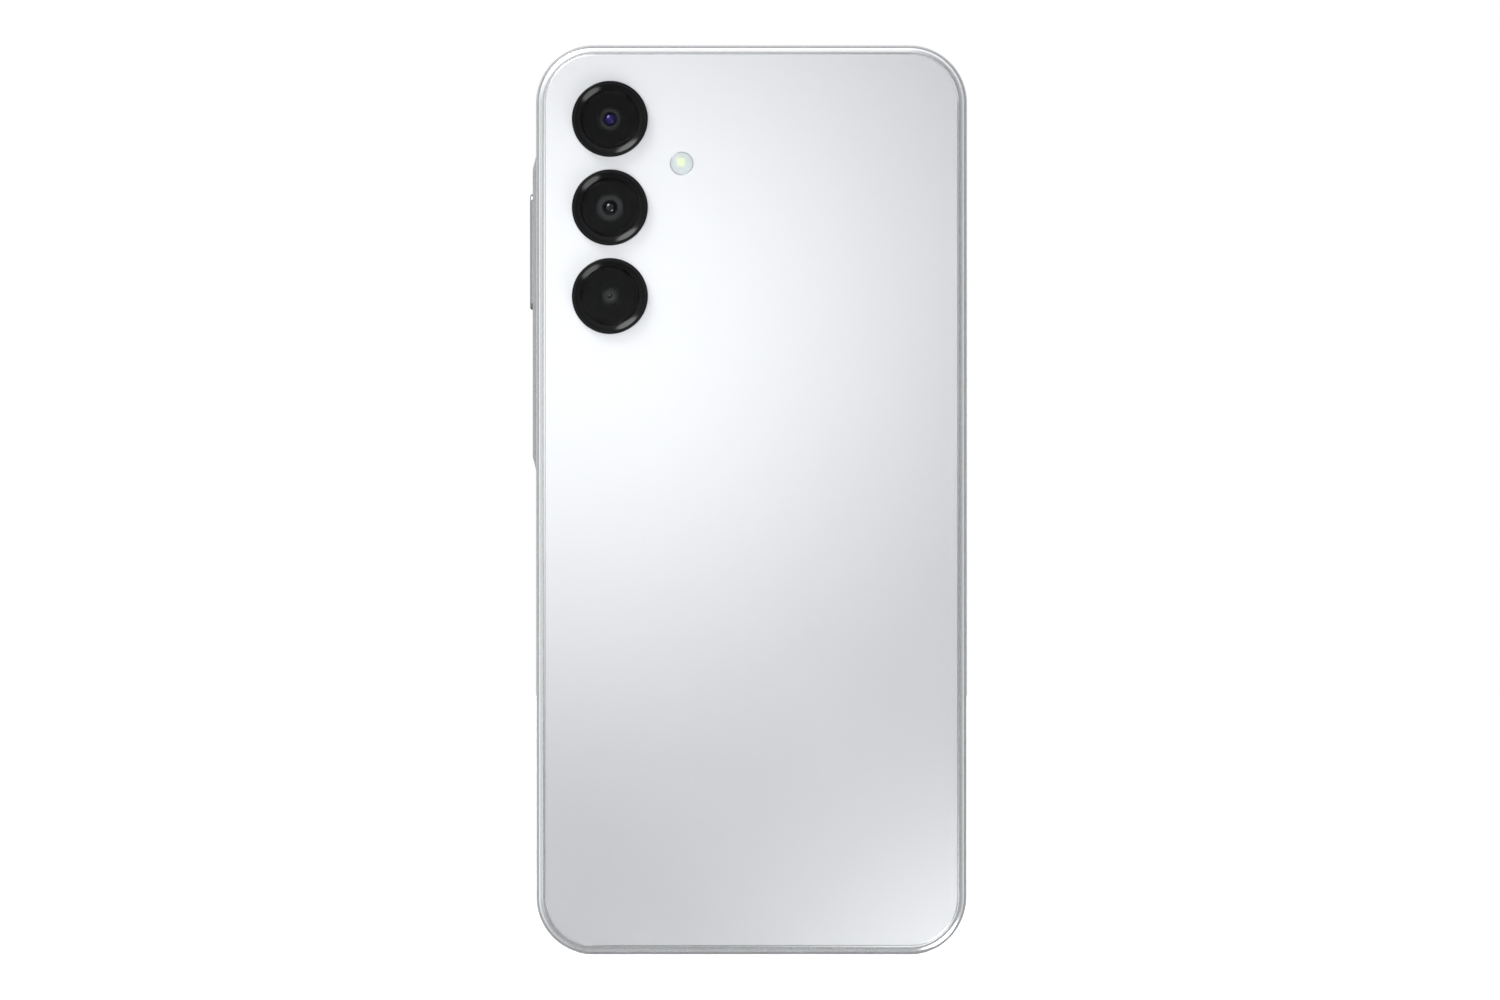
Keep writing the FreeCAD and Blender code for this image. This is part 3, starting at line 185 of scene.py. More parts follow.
flashLook = {
    # the lamp's patch: its middle, half its side, how softly it fades, how strong it shows and its colour
    "patchX": 12.8, "patchZ": 143.3, "patchHalf": 0.75, "patchFade": 0.45, "patchShare": 0.9,
    "patchTone": "#B1B38C",
    # the darker rim: where it starts and is full, how strong it shows and its colour
    "rimFrom": 1.7, "rimTo": 2.05, "rimShare": 0.6, "rimTone": "#77787A",
    "ringPitch": 0.3, "ringDepth": 0.012,  # the fine turned rings
}


def makeFlashLens():
    # frosted lens with fine turned rings, and the yellow of the lamp showing through softly
    material = surface("frostedLens", "#9A9B9A", 0.0, 0.3, grain=0.4, depth=0.003, shift=0.04,
                       Subsurface_Weight=0.2, Coat_Weight=0.3, Coat_Roughness=0.05)
    tree, _, place = nodesOf(material)
    look = flashLook
    low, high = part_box("flash_window")
    centre = (low + high) / 2
    across = addNode(tree, "Mapping", {"Vector": place.outputs["Object"], "Scale": (1, 0, 1),
                                       "Location": (-centre.x, 0, -centre.z)})
    reach = addNode(tree, "VectorMath", {0: across.outputs[0]}, operation="LENGTH")
    rim = addNode(tree, "MapRange", {"Value": reach.outputs["Value"], "From Min": look["rimFrom"] * mm,
                                     "From Max": look["rimTo"] * mm, "To Max": look["rimShare"]},
                  interpolation_type="SMOOTHSTEP")
    # the lamp under the lens is a square with soft corners: the fourth power of each side's reach
    patch = addNode(tree, "Mapping", {"Vector": place.outputs["Object"], "Scale": (1, 0, 1),
                                      "Location": (-look["patchX"] * mm, 0, -look["patchZ"] * mm)})
    apart = addNode(tree, "SeparateXYZ", {0: patch.outputs[0]})
    sides = []
    for axis in ("X", "Z"):
        share = addNode(tree, "Math", {0: apart.outputs[axis], 1: look["patchHalf"] * mm},
                        operation="DIVIDE")
        square = addNode(tree, "Math", {0: share.outputs[0], 1: share.outputs[0]}, operation="MULTIPLY")
        sides.append(addNode(tree, "Math", {0: square.outputs[0], 1: 2.0}, operation="POWER").outputs[0])
    far = addNode(tree, "Math", {0: sides[0], 1: sides[1]}, operation="ADD")
    spot = addNode(tree, "Math", {0: far.outputs[0], 1: 1 / 4}, operation="POWER")
    glow = addNode(tree, "MapRange", {"Value": spot.outputs[0], "From Min": 1 - look["patchFade"],
                                      "From Max": 1 + look["patchFade"], "To Min": look["patchShare"],
                                      "To Max": 0.0}, interpolation_type="SMOOTHSTEP")
    overlay(material, glow.outputs[0], look["patchTone"])
    overlay(material, rim.outputs[0], look["rimTone"])
    turns = addNode(tree, "Math", {0: reach.outputs["Value"], 1: 2 * math.pi / (look["ringPitch"] * mm)},
                    operation="MULTIPLY")
    wave = addNode(tree, "Math", {0: turns.outputs[0]}, operation="SINE")
    raiseBump(material, wave.outputs[0], look["ringDepth"])
    return material


flashLens = makeFlashLens()


touchGrid = {"pitch": 4, "line": 0.2, "cells": ("#0B0C0F", "#0A0B0E"), "lines": "#0E0F12"}


def makeDisplayLook():
    # the switched-off panel: almost black, with the faint lines of its touch grid drawn wider than they are
    material = surface("switchedOffDisplay", "#0C0D10", 0.0, 0.35, grain=0.5, depth=0.0001, shift=0.05,
                       IOR=1.4, Specular_IOR_Level=0.2)
    tree, shader, place = nodesOf(material)
    flat = addNode(tree, "Mapping", {"Vector": place.outputs["Object"], "Rotation": (math.pi / 2, 0, 0)})
    grid = addNode(tree, "TexBrick", {
        "Vector": flat.outputs[0], "Scale": 1.0, "Brick Width": touchGrid["pitch"] * mm,
        "Row Height": touchGrid["pitch"] * mm, "Mortar Size": touchGrid["line"] * mm,
        "Color1": linear(touchGrid["cells"][0]), "Color2": linear(touchGrid["cells"][1]),
        "Mortar": linear(touchGrid["lines"])}, offset=0.0)
    tree.links.new(grid.outputs["Color"], shader.inputs["Base Color"])
    return material


displayLook = makeDisplayLook()
# ink that frames the live area, printed on the glass's underside: a flat black
borderInk = surface("borderInk", "#030303", 0.0, 0.5, grain=0.5, depth=0.0005, shift=0.1, IOR=1.3,
                    Specular_IOR_Level=0.0)

# glass-filled nylon, moulded: a matt black with a fine grain
blackNylon = surface("glassFilledNylon", "#18191A", 0.0, 0.55, grain=0.25, depth=0.010, shift=0.15)
# foam tape, cut to shape: a dead black with tiny cells
foamTape = surface("closedCellFoamTape", "#101011", 0.0, 0.9, grain=0.15, depth=0.02, shift=0.25)
# nickel on pressed steel: a warm bright metal with faint lines along X
nickelPlate = surface("nickelPlatedSteel", "#C9C5BE", 1.0, 0.28, grain=0.3, depth=0.002, shift=0.06,
                      stretch=(0.2, 1, 1))
# stainless steel, rolled: a satin grey with lines along Z
stainless = surface("satinStainless", "#B9B9BA", 1.0, 0.3, grain=0.2, depth=0.002, shift=0.06,
                    stretch=(1, 1, 0.15))
# magnesium, die cast: a dull pale grey with a rough skin
castPlate = surface("castMagnesium", "#A9ABAD", 1.0, 0.48, grain=0.4, depth=0.012, shift=0.08)
# graphite foil, pressed: a dark grey with a soft sheen
graphiteFoil = surface("graphiteFoil", "#3A3B3D", 0.3, 0.45, grain=0.3, depth=0.004, shift=0.12,
                       stretch=(0.3, 1, 1))
# aluminium laminate, pressed round the cell: a silvery foil with soft dents
batteryFoil = surface("laminatedPouchFoil", "#A6A8AC", 0.85, 0.34, grain=1.4, depth=0.02, shift=0.05)
# epoxy, moulded over the chip: a matt black with a fine speckle
epoxyBlack = surface("mouldedEpoxy", "#1B1B1D", 0.0, 0.5, grain=0.12, depth=0.006, shift=0.2)
# silicone, moulded: a soft matt grey
siliconeGrey = surface("matSilicone", "#3E3F41", 0.0, 0.65, grain=0.25, depth=0.004, shift=0.08)
# tungsten, sintered: a dull dark metal
tungsten = surface("sinteredTungsten", "#6E6E70", 1.0, 0.42, grain=0.15, depth=0.01, shift=0.12)
# nickel on a magnet: a bright grey metal
magnetNickel = surface("nickelledMagnet", "#A7A8AB", 1.0, 0.22, grain=0.4, depth=0.002, shift=0.06)
# polymer film, moulded: a dark grey with a light gloss
filmBlack = surface("mouldedFilm", "#2A2B2D", 0.0, 0.35, grain=0.4, depth=0.003, shift=0.1, Coat_Weight=0.2)
# fluoropolymer, drawn: a smooth glossy black
cableJacket = surface("fluoropolymerJacket", "#1C1C1E", 0.0, 0.3, grain=0.3, depth=0.003, shift=0.08)
# white ceramic, fired: a clean off-white
ceramicWhite = surface("whiteCeramic", "#E8E6DF", 0.0, 0.35, grain=0.3, depth=0.002, shift=0.03)


boardLook = {
    "trackCell": 1.6, "trackLines": 42.0, "trackShare": 0.45, "trackTone": "#17633C", "trackDepth": 0.02,
    "padCell": 1.1, "padReach": 0.14, "padTone": "#B9974B",
}


def makeBoardLook():
    # glass-fibre board under green solder mask: copper tracks show as paler lines, pads as gold dots
    material = surface("greenSolderMask", "#0E4A2C", 0.0, 0.3, grain=0.4, depth=0.003, shift=0.1,
                       Coat_Weight=0.4, Coat_Roughness=0.15)
    tree, _, place = nodesOf(material)
    look = boardLook
    cells = addNode(tree, "TexVoronoi", {"Vector": place.outputs["Object"],
                                         "Scale": 1 / (look["trackCell"] * mm), "Randomness": 0.35},
                    distance="MANHATTAN", feature="F1")
    lines = addNode(tree, "Math", {0: cells.outputs["Distance"], 1: look["trackLines"]},
                    operation="MULTIPLY")
    wave = addNode(tree, "Math", {0: lines.outputs[0]}, operation="SINE")
    track = addNode(tree, "Math", {0: wave.outputs[0], 1: look["trackShare"]}, operation="GREATER_THAN")
    overlay(material, track.outputs[0], look["trackTone"])
    dots = addNode(tree, "TexVoronoi", {"Vector": place.outputs["Object"],
                                        "Scale": 1 / (look["padCell"] * mm), "Randomness": 0.6})
    pad = addNode(tree, "Math", {0: dots.outputs["Distance"], 1: look["padReach"]}, operation="LESS_THAN")
    overlay(material, pad.outputs[0], look["padTone"])
    raiseBump(material, track.outputs[0], look["trackDepth"])
    return material


conductorDepth = 0.01  # how far conductors stand out under their film


def makeStripedLook(name, base, stripe, axis, pitch, share, **settings):
    # conductors running side by side under a film
    material = surface(name, base, **settings)
    tree, _, place = nodesOf(material)
    apart = addNode(tree, "SeparateXYZ", {0: place.outputs["Object"]})
    steps = addNode(tree, "Math", {0: apart.outputs[axis], 1: 1 / (pitch * mm)}, operation="MULTIPLY")
    saw = addNode(tree, "Math", {0: steps.outputs[0]}, operation="FRACT")
    line = addNode(tree, "Math", {0: saw.outputs[0], 1: share}, operation="LESS_THAN")
    overlay(material, line.outputs[0], stripe)
    raiseBump(material, line.outputs[0], conductorDepth)
    return material


boardGreen = makeBoardLook()
flexSettings = dict(roughness=0.3, grain=0.5, depth=0.002, shift=0.06, Coat_Weight=0.4, Coat_Roughness=0.1)
# amber polyimide with copper conductors, across X or across Z
flexAcross = makeStripedLook("polyimideRibbon", "#A5631B", "#C98A45", "X", 0.6, 0.5, **flexSettings)
flexAlong = makeStripedLook("polyimideStrip", "#A5631B", "#C98A45", "Y", 0.6, 0.5, **flexSettings)
# copper winding on a film: the gaps between its turns show
coilCopper = makeStripedLook("copperWinding", "#7A4A2A", "#C98052", "X", 0.8, 0.7, metallic=0.9,
                             roughness=0.3, grain=0.4, depth=0.003)


meshLook = {"pitch": 0.25, "holeShare": 0.35, "holeTone": "#0A0A0B", "depth": 0.02}


def makeMeshLook(name):
    # woven steel wire: dark holes in a fine square grid
    material = surface(name, "#8D8E90", 1.0, 0.35, grain=0.2, depth=0.002)
    tree, _, place = nodesOf(material)
    apart = addNode(tree, "SeparateXYZ", {0: place.outputs["Object"]})
    waves = []
    for axis in ("X", "Y", "Z"):
        turns = addNode(tree, "Math", {0: apart.outputs[axis], 1: 2 * math.pi / (meshLook["pitch"] * mm)},
                        operation="MULTIPLY")
        waves.append(addNode(tree, "Math", {0: turns.outputs[0]}, operation="SINE").outputs[0])
    first = addNode(tree, "Math", {0: waves[0], 1: waves[1]}, operation="MAXIMUM")
    both = addNode(tree, "Math", {0: first.outputs[0], 1: waves[2]}, operation="MAXIMUM")
    hole = addNode(tree, "Math", {0: both.outputs[0], 1: meshLook["holeShare"]}, operation="LESS_THAN")
    overlay(material, hole.outputs[0], meshLook["holeTone"])
    raiseBump(material, both.outputs[0], meshLook["depth"])
    return material


wireMesh = makeMeshLook("wovenWire")
# hard gold on the port's contacts: a clean warm yellow metal
goldPlate = surface("hardGold", "#D8B45C", 1.0, 0.22, grain=0.2, depth=0.001, shift=0.04)
print("finishes made:", len(bpy.data.materials))


def softenEdges(bm, edges, width, segments=3):
    bmesh.ops.bevel(bm, geom=list(edges), offset=width, offset_type="OFFSET", affect="EDGES",
                    segments=segments, profile=0.5, material=-1, clamp_overlap=True)


def sharpEdges(bm, degrees=35):
    limit = math.radians(degrees)
    return [edge for edge in bm.edges if len(edge.link_faces) == 2 and edge.calc_face_angle(0) > limit]


def edgesAt(bm, axis, level):
    # the outline at one end of a plate or bar
    return [edge for edge in bm.edges if all(abs(vert.co[axis] - level) < samePoint for vert in edge.verts)]


def plate(size, centre, axis, corner=0.0, steps=20):
    # a block, rounded round one axis: size and centre are (x, y, z)
    bm = bmesh.new()
    bmesh.ops.create_cube(bm, size=1.0)
    bmesh.ops.scale(bm, vec=size, verts=bm.verts)
    bmesh.ops.translate(bm, vec=centre, verts=bm.verts)
    if corner > 0:
        along = [edge for edge in bm.edges
                 if abs((edge.verts[0].co - edge.verts[1].co)[axis]) > 0.9 * size[axis]]
        softenEdges(bm, along, corner, steps)
    return bm


def rod(radius, low, high, centre, axis, steps=48):
    # a cylinder along an axis, between two levels; centre is (x, y, z) with the axis's own entry unused
    bm = bmesh.new()
    turn = {0: Matrix.Rotation(math.pi / 2, 4, "Y"), 1: Matrix.Rotation(-math.pi / 2, 4, "X"),
            2: Matrix.Identity(4)}[axis]
    bmesh.ops.create_cone(bm, cap_ends=True, segments=steps, radius1=radius, radius2=radius,
                          depth=high - low, matrix=turn)
    spot = Vector(centre)
    spot[axis] = (low + high) / 2
    bmesh.ops.translate(bm, vec=spot, verts=bm.verts)
    return bm


def turned(profile, centre, steps=96):
    # a profile of (radius, y) spun once round an axis that runs along Y through centre (x, z)
    bm = bmesh.new()
    verts = [bm.verts.new((centre[0] + radius, y, centre[1])) for radius, y in profile]
    edges = [bm.edges.new(pair) for pair in zip(verts, verts[1:])]
    if profile[0][0] > 0 and profile[-1][0] > 0:
        edges.append(bm.edges.new((verts[-1], verts[0])))
    bmesh.ops.spin(bm, geom=verts + edges, cent=(centre[0], 0, centre[1]), axis=(0, 1, 0),
                   angle=2 * math.pi, steps=steps, use_merge=True)
    bmesh.ops.remove_doubles(bm, verts=bm.verts, dist=samePoint)
    bmesh.ops.recalc_face_normals(bm, faces=bm.faces)
    return bm


def meshOf(bm, name):
    mesh = bpy.data.meshes.new(name)
    bm.to_mesh(mesh)
    bm.free()
    return mesh


def joined(*shapes):
    # several shapes as one
    whole = bmesh.new()
    for shape in shapes:
        whole.from_mesh(meshOf(shape, "part"))
    return whole


def combined(bm, other, operation):
    # one shape cut by, or united with, another
    pair = [bpy.data.objects.new(role, meshOf(shape, role))
            for role, shape in (("body", bm), ("tool", other))]
    for item in pair:
        bpy.context.scene.collection.objects.link(item)
    body, tool = pair
    change = body.modifiers.new("change", "BOOLEAN")
    change.operation = operation
    change.solver = "EXACT"
    change.object = tool
    bpy.context.view_layer.update()
    mesh = bpy.data.meshes.new_from_object(body.evaluated_get(bpy.context.evaluated_depsgraph_get()))
    result = bmesh.new()
    result.from_mesh(mesh)
    for item in pair:
        bpy.data.objects.remove(item)
    bmesh.ops.remove_doubles(result, verts=result.verts, dist=samePoint)
    return result


def finishPiece(name, bm, look, body, nodes=(), soften=0.0, angle=35):
    # scales a shape to metres, gives it its finish and hands it to the frame
    bmesh.ops.scale(bm, vec=(mm, mm, mm), verts=bm.verts)
    piece = bpy.data.objects.new(name, meshOf(bm, name))
    bpy.context.scene.collection.objects.link(piece)
    piece.data.shade_smooth()
    piece.data.set_sharp_from_angle(angle=math.radians(angle))
    piece.data.materials.append(look)
    if soften:
        edge = piece.modifiers.new("edge", "BEVEL")
        edge.width = soften * mm
        edge.segments = 2
        edge.limit_method = "ANGLE"
        edge.angle_limit = math.radians(angle)
        edge.use_clamp_overlap = True
    even = piece.modifiers.new("even", "WEIGHTED_NORMAL")
    even.weight = 100
    even.keep_sharp = soften == 0
    if nodes:
        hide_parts(*nodes)
    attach(piece, body)
    return piece


frameShape = {
    "backRounding": 1.5, "frontRounding": 0.45, "rimInset": 1.65, "coverShelf": 2.95, "lip": 0.85,
    "glassShelf": -3.15, "plateInset": 2.4, "plateShelf": -1.95, "islandLow": 87.3, "islandHigh": 144.74,
    "islandRise": 0.62, "islandRamp": 2.6, "islandWidth": 5.4, "keyY": -0.35, "shoulder": 0.6,
    "islandThick": 2.0, "islandRoot": 0.8, "footSink": 0.01,  # how the island goes into the wall
    "cornerSteps": 28, "trayY": 0.35, "portY": -0.1,
}
side = phone["width"] / 2
openings = {
    # cuts through the wall: size, middle, the axis each is rounded about, its corner and the corner's steps
    "volumeKey": ((6, 2.8, 21.25), (side, frameShape["keyY"], 127.1), 0, 1.39, 12),
    "powerKey": ((6, 3.1, 15.15), (side, frameShape["keyY"], 101.8), 0, 1.54, 12),
    "trayHead": ((1.7, 2.66, 17.16), (-side + 0.75, frameShape["trayY"], 137.0), 0, 1.32, 12),
    "trayTunnel": ((5, 2.0, 14.7), (-side + 2.5, frameShape["trayY"], 136.0), 0, 0.4, 4),
    "port": ((9.1, 3.32, 4), (0, frameShape["portY"], 1.5), 2, 1.65, 12),
}
soundHoles = {
    "microphone": 0.5, "bottomX": 13.0, "topX": 8.0,  # radius and places of the microphones' holes
    "speaker": 0.65, "speakerX": -19.55, "pitch": 2.2, "eachSide": 3,  # the loudspeaker's row
    "outside": 1, "inside": 4,  # how far a hole reaches from the phone's end
}


def sinkFace(bm, axis, level, inset, depth):
    # insets the end face at a level, then sinks its middle to a new level
    face = max((item for item in bm.faces if abs(item.calc_center_median()[axis] - level) < samePoint
                and abs(item.normal[axis]) > 0.99), key=lambda item: len(item.verts))
    bmesh.ops.inset_region(bm, faces=[face], thickness=inset, use_even_offset=True)
    if depth is not None:
        made = bmesh.ops.extrude_discrete_faces(bm, faces=[face])["faces"][0]
        for vert in made.verts:
            vert.co[axis] = depth
        return made
    return face


def makeSideFrame():
    shape = frameShape
    bm = plate((phone["width"], phone["back"] - phone["front"], phone["height"]),
               (0, (phone["back"] + phone["front"]) / 2, middleZ), 1, phone["corner"],
               shape["cornerSteps"])
    softenEdges(bm, edgesAt(bm, 1, phone["back"]), shape["backRounding"], segments=10)
    softenEdges(bm, edgesAt(bm, 1, phone["front"]), shape["frontRounding"], segments=5)
    bmesh.ops.recalc_face_normals(bm, faces=bm.faces)
    sinkFace(bm, 1, phone["back"], shape["rimInset"] - shape["backRounding"], shape["coverShelf"])
    backFace = sinkFace(bm, 1, shape["coverShelf"], phone["wall"] - shape["rimInset"], None)
    sinkFace(bm, 1, phone["front"], shape["lip"] - shape["frontRounding"], shape["glassShelf"])
    sinkFace(bm, 1, shape["glassShelf"], shape["plateInset"] - shape["lip"], shape["plateShelf"])
    frontFace = sinkFace(bm, 1, shape["plateShelf"], phone["wall"] - shape["plateInset"], None)
    loops = list(backFace.edges) + list(frontFace.edges)
    bmesh.ops.delete(bm, geom=[backFace, frontFace], context="FACES_ONLY")
    bmesh.ops.bridge_loops(bm, edges=loops)
    bmesh.ops.recalc_face_normals(bm, faces=bm.faces)

    # the island that carries the keys: a block whose outer face is drawn in to a smaller crest
    crest = side + shape["islandRise"]
    length = shape["islandHigh"] - shape["islandLow"]
    centre = Vector((0, shape["keyY"], (shape["islandLow"] + shape["islandHigh"]) / 2))
    island = plate((shape["islandThick"], shape["islandWidth"], length),
                   (crest - shape["islandThick"] / 2, centre.y, centre.z), 0,
                   shape["islandWidth"] / 2 - 0.1, 12)
    inward = crest - 1e-3  # the block's outer face lies above this, and the rest of it below
    top = [vert for vert in island.verts if vert.co.x > inward]
    shrink = (1, 1 - 2 * shape["shoulder"] / shape["islandWidth"], 1 - 2 * shape["islandRamp"] / length)
    bmesh.ops.scale(island, vec=shrink, verts=top, space=Matrix.Translation(-centre))
    foot = side - shape["footSink"]
    for vert in island.verts:
        if vert.co.x < inward:
            vert.co.x = foot
    inner = [face for face in island.faces if face.normal.x < -0.9]
    core = bmesh.ops.extrude_face_region(island, geom=inner)
    bmesh.ops.translate(island, vec=(-shape["islandRoot"], 0, 0),
                        verts=[item for item in core["geom"] if isinstance(item, bmesh.types.BMVert)])
    # the many-sided face that the extrusion leaves inside the block, at its foot, goes
    left = [face for face in island.faces if len(face.verts) > 8 and abs(face.normal.x) > 0.9
            and abs(face.calc_center_median().x - foot) < 1e-3]
    bmesh.ops.delete(island, geom=left, context="FACES_ONLY")
    bmesh.ops.recalc_face_normals(island, faces=island.faces)
    bm = combined(bm, island, "UNION")

    def hole(radius, x, end):
        # a round hole through the wall at the bottom end (0) or at the top end (the phone's height)
        depths = (soundHoles["outside"], soundHoles["inside"])
        low, high = (end - depths[0], end + depths[1]) if end == 0 else (end - depths[1], end + depths[0])
        return rod(radius, low, high, (x, shape["portY"], 0), 2, steps=24)

    cutters = [plate(*cut) for cut in openings.values()]
    cutters.append(hole(soundHoles["microphone"], soundHoles["bottomX"], 0))
    cutters.append(hole(soundHoles["microphone"], soundHoles["topX"], phone["height"]))
    for step in range(-soundHoles["eachSide"], soundHoles["eachSide"] + 1):
        cutters.append(hole(soundHoles["speaker"], soundHoles["speakerX"] + soundHoles["pitch"] * step, 0))
    bm = combined(bm, joined(*cutters), "DIFFERENCE")
    return finishPiece("sideFrameMoulding", bm, framePaint, "phone_body", ["side_frame"],
                       soften=0.05, angle=38)


makeSideFrame()
print("side frame made")


cameras = {
    # height of the axis, barrel radius, top of the barrel, aperture in the printed mask and its corners,
    # opening above the front lens, the depth it sits at, and the front lens's half width and rise
    "wide": {"node": "upper", "z": 151.03, "barrel": 2.4, "top": 3.9, "aperture": 2.3, "corners": 8,
             "opening": 1.32, "sunk": 0.9, "dome": 1.2, "rise": 0.62},
    "main": {"node": "middle", "z": 135.04, "barrel": 3.25, "top": 4.1, "aperture": 2.6, "corners": 8,
             "opening": 1.42, "sunk": 0.95, "dome": 1.18, "rise": 0.62},
    "macro": {"node": "lower", "z": 119.04, "barrel": 1.9, "top": 3.7, "aperture": 1.85, "corners": 6,
              "opening": 0.5, "sunk": 0.4, "dome": 0.38, "rise": 0.2},
}
cameraX = 25.58
ringShape = {"outer": 6.87, "band": 6.3, "bore": 5.35, "neck": 6.2, "shoulder": 4.7, "foot": 3.1,
             "seat": 3.95, "top": 5.65, "window": 4.55, "slopeEnd": 5.1, "topRounding": 0.2,
             "edgeRounding": 0.04}
flashShape = {"x": 12.62, "z": 143.0, "radius": 2.1, "bottom": 3.15, "top": 3.95, "rounding": 0.07}
coverShape = {"width": 74.5, "height": 161.0, "thick": 0.8, "outside": 3.95, "corner": 8.7, "bevel": 0.12,
              "ringHole": 6.3, "flashHole": 2.13}


def makeBackCover():
    shape = coverShape
    bm = plate((shape["width"], shape["thick"], shape["height"]),
               (0, shape["outside"] - shape["thick"] / 2, middleZ), 1, shape["corner"], steps=28)
    softenEdges(bm, edgesAt(bm, 1, shape["outside"]), shape["bevel"], segments=4)
    below, above = 2, 5  # the holes' cutters reach past both faces
    holes = [rod(shape["ringHole"], below, above, (cameraX, 0, camera["z"]), 1, steps=96)
             for camera in cameras.values()]
    holes.append(rod(shape["flashHole"], below, above, (flashShape["x"], 0, flashShape["z"]), 1, steps=48))
    bm = combined(bm, joined(*holes), "DIFFERENCE")
    finishPiece("backCoverPanel", bm, coverPearl, "phone_body", ["back_cover"],
                soften=0.02, angle=60)


def makeRing(camera):
    shape = ringShape
    bm = turned([
        (shape["shoulder"], shape["foot"]), (shape["neck"], shape["foot"]), (shape["neck"], shape["seat"]),
        (shape["outer"], shape["seat"]), (shape["outer"], shape["top"]), (shape["band"], shape["top"]),
        (shape["bore"], shape["slopeEnd"]), (shape["bore"], shape["window"]),
        (shape["shoulder"], shape["window"]),
    ], (cameraX, camera["z"]), steps=128)
    crest = [edge for edge in sharpEdges(bm, 60) if edge.verts[0].co.y > shape["top"] - 0.01]
    softenEdges(bm, crest, shape["topRounding"], segments=5)
    softenEdges(bm, sharpEdges(bm, 20), shape["edgeRounding"], segments=2)
    finishPiece("cameraRing_" + camera["node"], bm, ringBlack, "phone_body",
                ["camera_ring_" + camera["node"]], angle=50)


windowShape = {
    "radius": 5.3, "bottom": 4.55, "top": 5.05, "rounding": 0.06,
    "inkRadius": 4.68, "inkY": 4.5, "inkThick": 0.03,
    "inkCorner": 0.12,  # as a share of the aperture
}


def makeWindow(camera):
    shape = windowShape
    bm = turned([(0, shape["bottom"]), (shape["radius"], shape["bottom"]), (shape["radius"], shape["top"]),
                 (0, shape["top"])], (cameraX, camera["z"]), steps=96)
    softenEdges(bm, sharpEdges(bm, 60), shape["rounding"])
    finishPiece("cameraGlass_" + camera["node"], bm, cameraGlass, "phone_body",
                ["camera_window_" + camera["node"]], angle=50)
    # the ink print under the glass, with its many-sided aperture
    centre = Matrix.Translation((cameraX, shape["inkY"], camera["z"])) @ Matrix.Rotation(math.pi / 2, 4, "X")
    turn = Matrix.Rotation(math.pi / camera["corners"], 4, "Z")
    ink = bmesh.new()
    bmesh.ops.create_circle(ink, segments=96, radius=shape["inkRadius"], matrix=centre)
    inner = bmesh.ops.create_circle(ink, segments=camera["corners"], radius=camera["aperture"],
                                    matrix=centre @ turn)["verts"]
    bmesh.ops.bevel(ink, geom=inner, offset=shape["inkCorner"] * camera["aperture"], affect="VERTICES",
                    segments=4, profile=0.5, material=-1, clamp_overlap=True)
    bmesh.ops.triangle_fill(ink, edges=ink.edges, use_beauty=True, use_dissolve=False)
    bmesh.ops.recalc_face_normals(ink, faces=ink.faces)
    if sum(face.normal.y for face in ink.faces) < 0:
        bmesh.ops.reverse_faces(ink, faces=ink.faces)
    bmesh.ops.solidify(ink, geom=ink.faces, thickness=shape["inkThick"])
    bmesh.ops.recalc_face_normals(ink, faces=ink.faces)
    finishPiece("printedMask_" + camera["node"], ink, maskInk, "phone_body",
                angle=50)


lensShape = {
    "step": 0.3, "stepLow": 0.8, "stepHigh": 0.5, "collar": 0.12,  # the barrel's outer steps below its top
    "ridge": 0.45, "ridgeDrop": 0.02, "wellBelow": 0.1,  # the ridge across its face and the well's floor
    "fit": 0.01, "gap": 0.05, "mouth": 0.1, "lip": 0.02, "under": 0.08,  # the liner round the front lens
    "arcSteps": 16, "rounding": 0.03,
    "retainer": 1.05, "retainerBelow": 0.1, "retainerAbove": 0.06, "retainerFit": 0.02,
}


